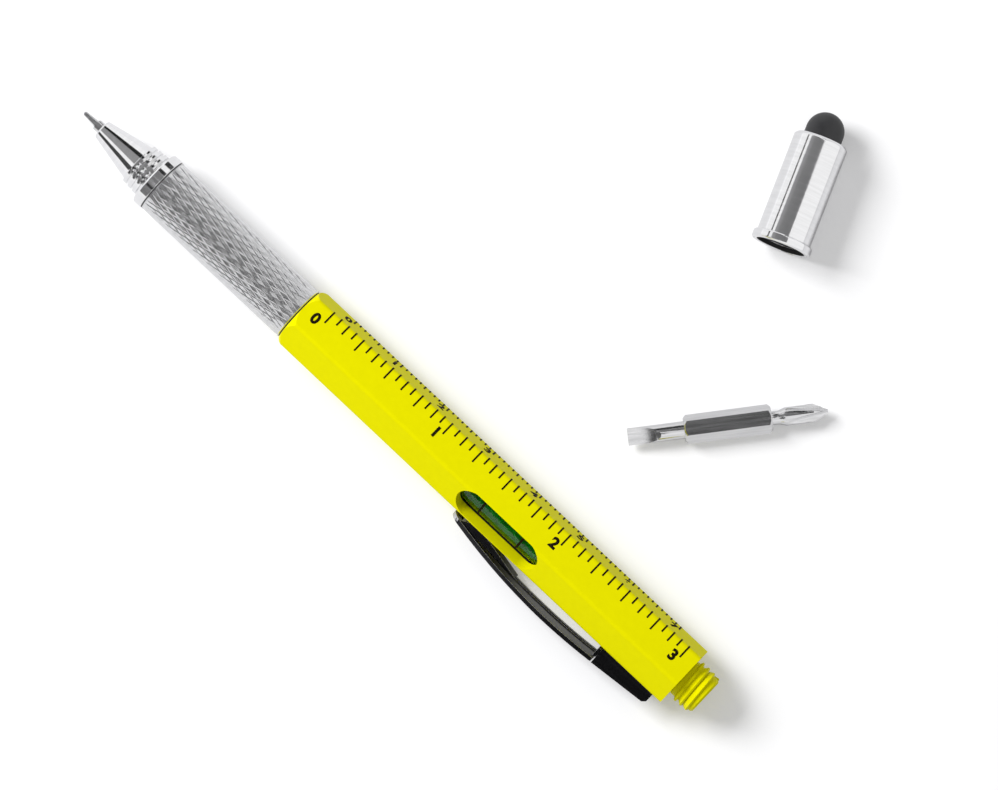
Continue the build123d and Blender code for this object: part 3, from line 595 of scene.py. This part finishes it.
@dataclass
class GripTube:
    """The knurled grip: rows of small truncated diamonds between two plain collars."""

    front: float = -117.28
    rear: float = -87.68
    outer: float = 4.8
    valley: float = 4.66
    peak: float = 4.8
    bore: float = 3.5
    collar: float = 0.2
    edge: float = 0.12
    around: int = 76
    rows: int = 20
    flat: float = 60.0
    crease: float = 14.0

    def build(self) -> None:
        """Models the grip and lets it stand for its CAD node."""
        start, end = self.front + self.collar, self.rear - self.collar
        bpy.ops.object.select_all(action="DESELECT")
        bpy.ops.mesh.primitive_cylinder_add(
            vertices=self.around,
            radius=self.valley * MM,
            depth=(end - start) * MM,
            end_fill_type="NOTHING",
            location=((start + end) / 2 * MM, 0.0, 0.0),
            rotation=(0.0, math.pi / 2, 0.0),
        )
        piece = new_piece("grip_knurl")
        settle(piece)
        start_edit(piece, Part.EDGES, False)
        choose(piece, Part.EDGES, lambda _, way: abs(way.x) > 0.9)
        bpy.ops.mesh.subdivide(number_cuts=self.rows - 1)
        self._raise_diamonds(piece, start, end)
        self._add_collars(piece, start, end)
        end_edit()
        tidy_normals(piece)
        smooth(piece, self.crease)
        stand_in(piece, "grip_sleeve")

    def _raise_diamonds(self, piece: bpy.types.Object, start: float, end: float) -> None:
        """Lifts every second point into a diamond with a small flat top.

        Args:
            piece: The grip, in edit mode.
            start: Where the rows start, in millimetres.
            end: Where the rows end, in millimetres.
        """
        step = (end - start) / self.rows

        def parity(co: Vector) -> int:
            """Which of the two sets of points this one is in.

            Args:
                co: The point's place.

            Returns:
                Nought or one.
            """
            row = round((co.x / MM - start) / step)
            column = round((math.atan2(co.z, co.y) / (2 * math.pi) + 1.0) * self.around)
            return (row + column) % 2

        def inside(co: Vector) -> bool:
            """Whether a point isn't on the end rows."""
            return start + step / 2 < co.x / MM < end - step / 2

        choose(piece, Part.POINTS, lambda co, _: parity(co) == 1)
        bpy.ops.mesh.vert_connect()
        choose(piece, Part.POINTS, lambda co, _: parity(co) == 0 and inside(co))
        factor = self.peak / self.valley
        bpy.ops.transform.resize(value=(1.0, factor, factor), center_override=(0.0, 0.0, 0.0))
        bpy.ops.mesh.bevel(
            offset_type="PERCENT", offset_pct=self.flat, affect="VERTICES", segments=1
        )

    def _add_collars(self, piece: bpy.types.Object, start: float, end: float) -> None:
        """Extrudes the plain collars, the end faces and the bore.

        Args:
            piece: The grip, in edit mode.
            start: Where the rows start, in millimetres.
            end: Where the rows end, in millimetres.
        """
        for place_x, way in ((start, -1.0), (end, 1.0)):
            choose(
                piece,
                Part.EDGES,
                lambda co, run: abs(co.x / MM - place_x) < 0.01 and abs(run.x) < 0.1,
            )
            radius = self.valley
            for along, target in (
                (0.0, self.outer),
                (self.collar - self.edge, self.outer),
                (self.edge, self.outer - self.edge),
                (0.0, self.bore),
            ):
                bpy.ops.mesh.extrude_region_move(
                    TRANSFORM_OT_translate={"value": (way * along * MM, 0.0, 0.0)}
                )
                factor = target / radius
                bpy.ops.transform.resize(value=(1.0, factor, factor), center_override=(0.0, 0.0, 0.0))
                radius = target
        choose(
            piece,
            Part.EDGES,
            lambda co, run: abs(math.hypot(co.y, co.z) / MM - self.bore) < 0.05 and abs(run.x) < 0.1,
        )
        bpy.ops.mesh.bridge_edge_loops()


@dataclass
class NoseSection:
    """The turned chrome nose: cone, three ridges and the band behind them."""

    tip: float = -130.45
    opening: float = 1.0
    lip: float = 1.65
    lip_edge: float = 0.2
    shoulder: float = -126.45
    room: float = 2.05
    cone_rear: float = -122.38
    cone_radius: float = 3.3
    ridge_width: float = 0.7
    groove: float = 0.37
    ridge_radii: tuple[float, ...] = (3.675, 3.785, 3.895)
    root: float = 3.4
    shank_rear: float = -111.17
    shank: float = 3.45
    band_front: float = -119.17
    band_rear: float = -117.42
    band_radius: float = 4.85
    band_edge: float = 0.25

    def build(self) -> None:
        """Turns the cone and the band."""
        outline: list[Point] = [
            (self.shoulder, self.opening),
            (self.tip, self.opening),
            (self.tip, self.lip - self.lip_edge),
            (self.tip + self.lip_edge, self.lip),
            (self.cone_rear, self.cone_radius),
        ]
        start = self.cone_rear
        for radius in self.ridge_radii:
            outline += [(start, radius), (start + self.ridge_width, radius)]
            outline += [
                (start + self.ridge_width, self.root),
                (start + self.ridge_width + self.groove, self.root),
            ]
            start += self.ridge_width + self.groove
        outline += [
            (self.band_front, self.shank),
            (self.shank_rear, self.shank),
            (self.shank_rear, self.room),
            (self.shoulder, self.room),
        ]
        cone = turn_profile("nose_turned", outline, rounding=0.09)
        stand_in(cone, "nose_cone")
        hole = self.shank + SEAT_GAP
        band = turn_profile(
            "nose_collar",
            [
                (self.band_front, hole),
                (self.band_front, self.band_radius - self.band_edge),
                (self.band_front + self.band_edge, self.band_radius),
                (self.band_rear, self.band_radius),
                (self.band_rear, hole),
            ],
            rounding=0.06,
        )
        stand_in(band, "nose_band")


@dataclass
class ClipUnit:
    """The folded clip: its bowed arm and the box that carries it, with rounded bends and a painted
    highlight on their rims.
    """

    arm_rounding: float = 0.16
    box_rounding: float = 0.12
    # rim and flat bound the arm's faces that get the painted highlight; end_rim and side_rim pick the
    # box's.
    rim: float = 0.3
    flat: float = 0.97
    end_rim: float = 0.3
    side_rim: float = 0.1

    def build(self) -> None:
        """Rounds copies of the two folded pieces and paints a highlight on their rims."""
        arm = rounded_copy("clip_arm", "clip_channel", self.arm_rounding)
        stand_in(arm, "clip_arm")
        # The arm's upper rim faces get a brighter metal colour: a painted highlight.
        self._rub(arm, lambda _, way: self.rim < way.dot(self.upward()) < self.flat)
        box = rounded_copy("clip_block", "clip_box", self.box_rounding)
        stand_in(box, "clip_block")
        # The box's end and side rim faces get a brighter metal colour: a painted highlight.
        self._rub(
            box,
            lambda _, way: abs(way.x) > self.end_rim and abs(way.dot(self.upward())) > self.side_rim,
        )

    def upward(self) -> Vector:
        """The way that the clip's upper rim looks, across the arm."""
        return on_face(CLIP_FACE_ANGLE) @ Vector((0.0, 1.0, 0.0))

    def _rub(self, piece: bpy.types.Object, pick: Pick) -> None:
        """Paints rims a brighter metal colour, as a painted highlight where the bends catch bright
        reflections.

        Args:
            piece: The arm or the box.
            pick: Says for a face's middle and normal whether it gets the painted highlight.
        """
        # The second material is the painted highlight, a brighter nickel on the chosen faces.
        piece.data.materials.append(PAINTED_HIGHLIGHT_NICKEL.material())
        start_edit(piece, Part.FACES, False)
        found = choose(piece, Part.FACES, pick)
        piece.active_material_index = 1
        bpy.ops.object.material_slot_assign()
        end_edit()
        # Counts the faces that got the painted highlight.
        log.info("%s: %d painted_highlight faces", piece.name, found)


@dataclass
class CapUnit:
    """The screw-on cap: chrome shell and rim, the hollow rubber dome, and a dark sleeve of painted shade in
    its mouth.
    """

    mouth: tuple[float, float, float] = (-39.9, 59.75, -0.3307)
    heading: float = CAP_HEADING_ANGLE
    dip: float = CAP_DIP_ANGLE
    length: float = 18.27
    outer: float = 4.43
    end_edge: float = 0.45
    bore: float = 4.0
    bore_depth: float = 14.57
    # A thin dark sleeve just inside the mouth, painted shade for the hollow's dark inside: its start, end
    # and radii.
    lining_start: float = 0.1
    lining_end: float = 0.85
    lining_outer: float = 3.99
    lining_inner: float = 3.96
    room: float = 3.65
    hole: float = 3.12
    web: float = 1.5
    rim: float = 4.9
    rim_length: float = 1.4
    rim_edge: float = 0.2
    dome: float = 3.1
    dome_rise: float = 1.38
    dome_wall: float = 0.9
    flange: float = 3.6
    flange_length: float = 1.0

    def build(self) -> None:
        """Turns the three pieces and the dark sleeve of painted shade, and lays them where the cap lies."""
        room_top = self.length - self.web
        shell = turn_profile(
            "cap_tube",
            [
                (0.0, self.bore),
                (0.0, self.outer),
                (self.length - self.end_edge, self.outer),
                (self.length, self.outer - self.end_edge),
                (self.length, self.hole),
                (room_top, self.hole),
                (room_top, self.room),
                (self.bore_depth, self.room),
                (self.bore_depth, self.bore),
            ],
            rounding=0.08,
            steps=128,
        )
        rim_hole = self.outer + SEAT_GAP
        ring = turn_profile(
            "cap_collar",
            [
                (0.0, rim_hole),
                (0.0, self.rim - self.rim_edge),
                (self.rim_edge, self.rim),
                (self.rim_length - self.rim_edge, self.rim),
                (self.rim_length, self.rim - self.rim_edge),
                (self.rim_length, rim_hole),
            ],
            rounding=0.06,
            steps=128,
        )
        dome = turn_profile("touch_dome", self._dome_outline(room_top), steps=96)
        # A dark sleeve over the bore's first 0.75 mm: painted shade where the hollow falls dark.
        painted_shade = turn_profile(
            "cap_lining",
            [
                (self.lining_start, self.lining_outer),
                (self.lining_end, self.lining_outer),
                (self.lining_end, self.lining_inner),
                (self.lining_start, self.lining_inner),
            ],
            steps=128,
        )
        place(painted_shade, self.lie())
        # The black finish on this sleeve is painted shade inside the mouth.
        dress(painted_shade, DARK_PLASTIC)
        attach(painted_shade, frame["nodes"]["cap_shell"].parent.name.split(":")[1])
        log.info("%s: %d faces", painted_shade.name, len(painted_shade.data.polygons))
        for piece, node, finish in (
            (shell, "cap_shell", CAP_CHROME),
            (ring, "cap_rim", CAP_CHROME),
            (dome, "stylus_tip", RUBBER),
        ):
            place(piece, self.lie())
            stand_in(piece, node, finish)

    def lie(self) -> Matrix:
        """The move from the X axis to where the cap lies."""
        turn = Euler((0.0, math.radians(self.dip), math.radians(self.heading))).to_matrix().to_4x4()
        return Matrix.Translation(Vector(self.mouth) * MM) @ turn

    def _dome_outline(self, room_top: float) -> list[Point]:
        """The dome's profile, with its inner hollow.

        Args:
            room_top: How deep the flange's front face lies, from the mouth.

        Returns:
            The profile's points.
        """
        base = room_top - self.flange_length
        centre = self.length + self.dome_rise
        inner = self.dome - self.dome_wall
        outline: list[Point] = [(base, inner), (base, self.flange), (room_top, self.flange)]
        outline.append((room_top, self.dome))
        steps = 14
        for step in range(steps + 1):
            angle = math.pi / 2 * step / steps
            outline.append((centre + self.dome * math.sin(angle), self.dome * math.cos(angle)))
        for step in range(steps, -1, -1):
            angle = math.pi / 2 * step / steps
            outline.append((centre + inner * math.sin(angle), inner * math.cos(angle)))
        return outline


@dataclass
class LevelUnit:
    """The level: green liquid that fills the vial, and the bubble in it."""

    front: float = -50.3
    rear: float = -32.9
    middle: float = -41.6
    end_radius: float = 2.21
    middle_radius: float = 2.31
    offset: float = 0.7
    bubble_front: float = -40.2
    bubble_rear: float = -37.2
    bubble: float = 1.2

    def build(self) -> None:
        """Turns the liquid and the bubble and moves them to the vial's axis."""
        steps = 12
        outline: list[Point] = [(self.front, 0.0)]
        for step in range(steps + 1):
            share = 2 * step / steps - 1
            along = self.middle + share * (self.rear - self.front) / 2
            radius = self.middle_radius - (self.middle_radius - self.end_radius) * share**2
            outline.append((along, radius))
        outline.append((self.rear, 0.0))
        liquid = turn_profile("level_fluid", outline, steps=64, closed=False)
        place(liquid, self.vial())
        stand_in(liquid, "vial_liquid")
        outline = []
        for step in range(steps + 1):
            angle = math.pi / 2 * step / steps
            along = self.bubble_front + self.bubble * (1 - math.cos(angle))
            outline.append((along, self.bubble * math.sin(angle)))
        for step in range(steps, -1, -1):
            angle = math.pi / 2 * step / steps
            along = self.bubble_rear - self.bubble * (1 - math.cos(angle))
            outline.append((along, self.bubble * math.sin(angle)))
        air = turn_profile("level_air", outline, steps=48, closed=False)
        low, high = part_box("level_bubble")
        middle = (low + high) / 2
        place(air, Matrix.Translation((0.0, middle.y, middle.z)))
        stand_in(air, "level_bubble")

    def vial(self) -> Matrix:
        """The move from the pen's axis to the vial's."""
        return Matrix.Translation(on_face(WINDOW_FACE_ANGLE) @ Vector((0.0, 0.0, self.offset * MM)))


@dataclass
class PrintedScales:
    """The printed inch scale on the top face, and the metric one on the next face round."""

    flats: float = 9.8
    corner: float = 0.8
    inch_zero: float = -83.38
    inch: float = 25.4
    parts: int = 16
    inches: int = 3
    inch_flat: dict[int, float] = field(default_factory=lambda: {16: 1.7, 8: 1.7, 4: 1.7, 2: 1.17, 1: 0.7})
    metric_zero: float = -80.25
    metric_parts: int = 70
    metric_flat: dict[int, float] = field(default_factory=lambda: {10: 1.8, 5: 1.5, 1: 1.0})
    wrap: float = 60.0
    over: float = 0.3
    line: float = 0.29
    film: float = 0.02
    number_height: float = 1.78
    number_shift: float = 1.0
    zero_shift: float = 0.5
    height_share: float = 0.7
    number_rise: float = 0.12
    number_bold: float = 0.12

    @property
    def flat_half(self) -> float:
        """Half the width of a face's flat part."""
        return (self.flats / 2 - self.corner) * math.tan(math.radians(30.0))

    def build(self) -> None:
        """Prints both scales and their numbers."""
        marks = []
        for count in range(self.inches * self.parts + 1):
            kind = max(size for size in self.inch_flat if count % size == 0)
            along = self.inch_zero + count * self.inch / self.parts
            marks.append(self._mark(along, self.inch_flat[kind]))
        self._finish(marks, "inch_marks", 0.0)
        marks = []
        for count in range(self.metric_parts + 1):
            kind = max(size for size in self.metric_flat if count % size == 0)
            marks.append(self._mark(self.metric_zero + count, self.metric_flat[kind]))
        self._finish(marks, "metric_marks", METRIC_FACE_ANGLE)
        numbers = []
        for count in range(self.inches + 1):
            shift = self.number_shift + (self.zero_shift if count == 0 else 0.0)
            along = self.inch_zero + count * self.inch - shift
            numbers.append(self._number(str(count), along))
        self._finish(numbers, "inch_numbers", 0.0)
        numbers = []
        for count in range(self.metric_parts // 10 + 1):
            numbers.append(self._number(str(count), self.metric_zero + 10 * count - self.number_shift))
        self._finish(numbers, "metric_numbers", METRIC_FACE_ANGLE)

    def _mark(self, along: float, flat: float) -> bpy.types.Object:
        """Prints one mark on the top face of an unrolled pen, and round its corner towards +Y.

        Args:
            along: Its place along the pen, in millimetres.
            flat: How far it runs on the flat, in millimetres.

        Returns:
            The mark, a thin film.
        """
        height = self.flats / 2 + self.film / 2
        bpy.ops.object.select_all(action="DESELECT")
        bpy.ops.mesh.primitive_plane_add(
            size=MM, location=(along * MM, (self.flat_half - flat / 2) * MM, height * MM)
        )
        mark = new_piece("mark")
        mark.scale = (self.line, flat, 1.0)
        settle(mark)
        start_edit(mark)
        edge = self.flat_half * MM
        choose(mark, Part.EDGES, lambda co, _: abs(co.y - edge) < 1e-6)
        centre = (along * MM, edge, (self.flats / 2 - self.corner) * MM)
        bpy.ops.mesh.spin(steps=6, angle=math.radians(self.wrap), center=centre, axis=(1.0, 0.0, 0.0))
        down = Vector((0.0, self.over * MM, 0.0))
        down.rotate(Euler((math.radians(-self.wrap), 0.0, 0.0)))
        bpy.ops.mesh.extrude_region_move(TRANSFORM_OT_translate={"value": down})
        end_edit()
        return mark

    def _number(self, text: str, along: float) -> bpy.types.Object:
        """Prints one number on the top face of an unrolled pen.

        Args:
            text: The number.
            along: Its middle along the pen, in millimetres.

        Returns:
            The number, a flat mesh.
        """
        bpy.ops.object.select_all(action="DESELECT")
        bpy.ops.object.text_add(location=(0.0, 0.0, 0.0))
        number = bpy.context.active_object
        number.data.body = text
        number.data.size = self.number_height / self.height_share * MM
        number.data.offset = self.number_bold * MM
        number.data.align_x = "CENTER"
        number.data.align_y = "CENTER"
        bpy.ops.object.convert(target="MESH")
        number = bpy.context.active_object
        number.location = (along * MM, self.number_rise * MM, (self.flats / 2 + self.film / 2) * MM)
        settle(number)
        return number

    def _finish(self, items: list[bpy.types.Object], name: str, face: float) -> None:
        """Joins marks or numbers, thickens them and turns them to their face.

        Args:
            items: The marks or numbers.
            name: The joined piece's name.
            face: The face's angle from the top one, in degrees.
        """
        deselect_all()
        for item in items:
            item.select_set(True)
        bpy.context.view_layer.objects.active = items[0]
        bpy.ops.object.join()
        piece = new_piece(name)
        start_edit(piece)
        bpy.ops.mesh.remove_doubles(threshold=WELD)
        end_edit()
        run_modifier(piece, "SOLIDIFY", thickness=self.film * MM, offset=0.0)
        place(piece, on_face(face))
        tidy_normals(piece)
        dress(piece, PRINT)
        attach(piece, "barrel")
        log.info("%s: %d faces", piece.name, len(piece.data.polygons))


@dataclass
class BitUnit:
    """The driver bit, with the fine breaks of its ground edges."""

    rounding: float = 0.05
    least_angle: float = 25.0

    def build(self) -> None:
        """Rounds a copy of the bit."""
        bit = rounded_copy("driver_bit", "bit_ground", self.rounding, self.least_angle)
        stand_in(bit, "driver_bit")


@dataclass(frozen=True)
class Card:
    """A matt card over the table that only gloss mirrors, in metres; it keeps no light from the object."""

    name: str
    middle: tuple[float, float, float]
    size: Point
    shade: float
    upright: bool = False


@dataclass
class Studio:
    """The pale floor, the soft light, the cards that the metal mirrors, and the camera."""

    heading: float = 43.324
    target: tuple[float, float, float] = (-0.05603, 0.01233, 0.0)
    camera: tuple[float, float, float] = (0.00139, -0.04855, 0.9965)
    lens: float = 229.7
    floor_size: float = 3.0
    floor_shade: tuple[float, float, float] = (0.8, 0.8, 0.81)
    floor_glow: float = 0.22
    lamp_power: float = 14.6
    lamp_across: float = -0.75
    lamp_up: float = 0.45
    lamp_height: float = 0.8
    lamp_size: float = 0.55
    world_light: float = 0.42
    cards: tuple[Card, ...] = (
        Card("card_over_nose", (-0.23, -0.575, 0.40), (0.14, 1.85), 0.24),
        Card("card_grip_near", (-0.125, -0.045, 0.40), (0.07, 0.09), 0.08),
        Card("card_grip_middle", (-0.125, -0.25, 0.40), (0.07, 0.12), 0.08),
        Card("card_grip_far", (-0.125, -0.60, 0.40), (0.07, 0.30), 0.08),
        Card("card_over_bit", (-0.037, 0.0625, 0.395), (0.10, 0.075), 0.06),
        Card("card_over_cap", (-0.0655, 0.105, 0.40), (0.211, 0.15), 0.24),
        Card("card_over_clip", (-0.032, -0.63, 0.40), (0.116, 0.96), 0.03),
        Card("card_grip_top", (-0.148, 0.54, 0.40), (0.046, 0.72), 0.75),
        Card("card_line_far", (-0.2325, 0.28, 0.39), (0.145, 0.14), 0.01),
        Card("card_line_near", (-0.2325, -0.30, 0.39), (0.145, 0.12), 0.03),
        Card("card_front", (-0.38, 0.03, 0.40), (0.16, 0.40), 0.30),
        Card("card_front_far", (-0.46, 0.37, 0.39), (0.32, 0.32), 0.01),
        Card("card_front_near", (-0.65, -1.20, 0.39), (0.70, 1.58), 0.06),
        Card("card_cap_line", (-0.76, -0.20, 0.41), (0.16, 0.70), 0.01),
        Card("card_wall_far", (-0.3025, 0.90, 0.245), (0.185, 0.39), 0.01, True),
        Card("card_grip_wall", (-0.0925, 0.90, 0.50), (0.225, 1.00), 0.75, True),
    )

    def axes(self) -> tuple[Vector, Vector]:
        """The picture's right and upward ways on the floor."""
        angle = math.radians(self.heading)
        right = Vector((math.cos(angle), math.sin(angle), 0.0))
        return right, Vector((-math.sin(angle), math.cos(angle), 0.0))

    def build(self) -> None:
        """Sets up the floor, cards, lamp, world and camera."""
        self._floor()
        self._cards()
        self._lamp()
        self._world()
        self._camera()
        bpy.context.scene.view_settings.view_transform = "Standard"

    def _floor(self) -> None:
        """Lays the white floor, which keeps the shadows."""
        bpy.ops.object.select_all(action="DESELECT")
        bpy.ops.mesh.primitive_plane_add(size=self.floor_size, location=(0.0, 0.0, TABLE_HEIGHT))
        floor = new_piece("studio_floor")
        settle(floor)
        made = bpy.data.materials.new("studio_floor_look")
        made.use_nodes = True
        nodes, links = made.node_tree.nodes, made.node_tree.links
        nodes.clear()
        output = nodes.new("ShaderNodeOutputMaterial")
        total = nodes.new("ShaderNodeAddShader")
        matte = nodes.new("ShaderNodeBsdfDiffuse")
        glow = nodes.new("ShaderNodeEmission")
        path = nodes.new("ShaderNodeLightPath")
        seen = nodes.new("ShaderNodeMath")
        strength = nodes.new("ShaderNodeMath")
        matte.inputs["Color"].default_value = (*self.floor_shade, 1.0)
        glow.inputs["Color"].default_value = (1.0, 1.0, 1.0, 1.0)
        seen.operation = "MAXIMUM"
        strength.operation = "MULTIPLY"
        strength.inputs[1].default_value = self.floor_glow
        links.new(path.outputs["Is Camera Ray"], seen.inputs[0])
        links.new(path.outputs["Is Transmission Ray"], seen.inputs[1])
        links.new(seen.outputs[0], strength.inputs[0])
        links.new(strength.outputs[0], glow.inputs["Strength"])
        links.new(matte.outputs[0], total.inputs[0])
        links.new(glow.outputs[0], total.inputs[1])
        links.new(total.outputs[0], output.inputs["Surface"])
        floor.data.materials.append(made)

    def _card(self, card: Card) -> None:
        """Hangs one card flat over the table, or stands it up along the pen.

        Args:
            card: The card's place, size and grey.
        """
        bpy.ops.object.select_all(action="DESELECT")
        bpy.ops.mesh.primitive_plane_add(size=1.0, location=card.middle)
        piece = new_piece(card.name)
        piece.scale = (card.size[0], card.size[1], 1.0)
        piece.rotation_euler = (math.pi / 2 if card.upright else 0.0, 0.0, 0.0)
        settle(piece)
        made = bpy.data.materials.new(card.name + "_look")
        made.use_nodes = True
        shader = made.node_tree.nodes["Principled BSDF"]
        shader.inputs["Base Color"].default_value = (card.shade, card.shade, card.shade, 1.0)
        shader.inputs["Roughness"].default_value = 1.0
        piece.data.materials.append(made)
        piece.visible_camera = False
        piece.visible_diffuse = False
        piece.visible_shadow = False

    def _cards(self) -> None:
        """Hangs the dark cards that draw the bands in the chrome."""
        for card in self.cards:
            self._card(card)

    def _lamp(self) -> None:
        """Hangs the soft key lamp at the picture's upper left, where gloss doesn't mirror it."""
        right, top = self.axes()
        middle = Vector(self.target) + right * self.lamp_across + top * self.lamp_up
        middle.z += self.lamp_height
        data = bpy.data.lights.new("lamp_key", "AREA")
        data.shape = "SQUARE"
        data.size = self.lamp_size
        data.energy = self.lamp_power
        lamp = bpy.data.objects.new("lamp_key", data)
        lamp.visible_glossy = False
        bpy.context.scene.collection.objects.link(lamp)
        lamp.location = middle
        lamp.rotation_euler = (Vector(self.target) - middle).to_track_quat("-Z", "Y").to_euler()

    def _world(self) -> None:
        """Makes the even light all round, which gloss mirrors as plain white."""
        world = bpy.data.worlds.new("studio_world")
        world.use_nodes = True
        nodes, links = world.node_tree.nodes, world.node_tree.links
        background = nodes["Background"]
        background.inputs["Color"].default_value = (1.0, 1.0, 1.0, 1.0)
        path = nodes.new("ShaderNodeLightPath")
        level = nodes.new("ShaderNodeMapRange")
        level.inputs["To Min"].default_value = self.world_light
        level.inputs["To Max"].default_value = 1.0
        links.new(path.outputs["Is Glossy Ray"], level.inputs["Value"])
        links.new(level.outputs["Result"], background.inputs["Strength"])
        bpy.context.scene.world = world

    def _camera(self) -> None:
        """Sets up the camera as the photo was taken."""
        right, _ = self.axes()
        eye, target = Vector(self.camera), Vector(self.target)
        back = (eye - target).normalized()
        top = back.cross(right).normalized()
        side = top.cross(back)
        data = bpy.data.cameras.new("portrait_camera")
        data.lens = self.lens
        data.sensor_width = 36.0
        data.clip_start = 0.01
        camera = bpy.data.objects.new("portrait_camera", data)
        bpy.context.scene.collection.objects.link(camera)
        turn = Matrix((side, top, back)).transposed().to_4x4()
        camera.matrix_world = Matrix.Translation(eye) @ turn
        bpy.context.scene.camera = camera


def dress_nodes() -> None:
    """Gives every CAD node its finish."""
    for name, node in frame["nodes"].items():
        dress(node, SLOTS[SLOT_OF[name]][0])


def main() -> None:
    """Builds the pieces in order and reports them."""
    logging.basicConfig(level=logging.INFO, format="%(name)s: %(message)s")
    dress_nodes()
    units = (
        GripTube(), NoseSection(), ClipUnit(), CapUnit(), LevelUnit(), PrintedScales(), BitUnit(), Studio(),
    )
    for unit in units:
        unit.build()
        log.info("%s is done", type(unit).__name__)
    deselect_all()


if __name__ == "__main__":
    main()
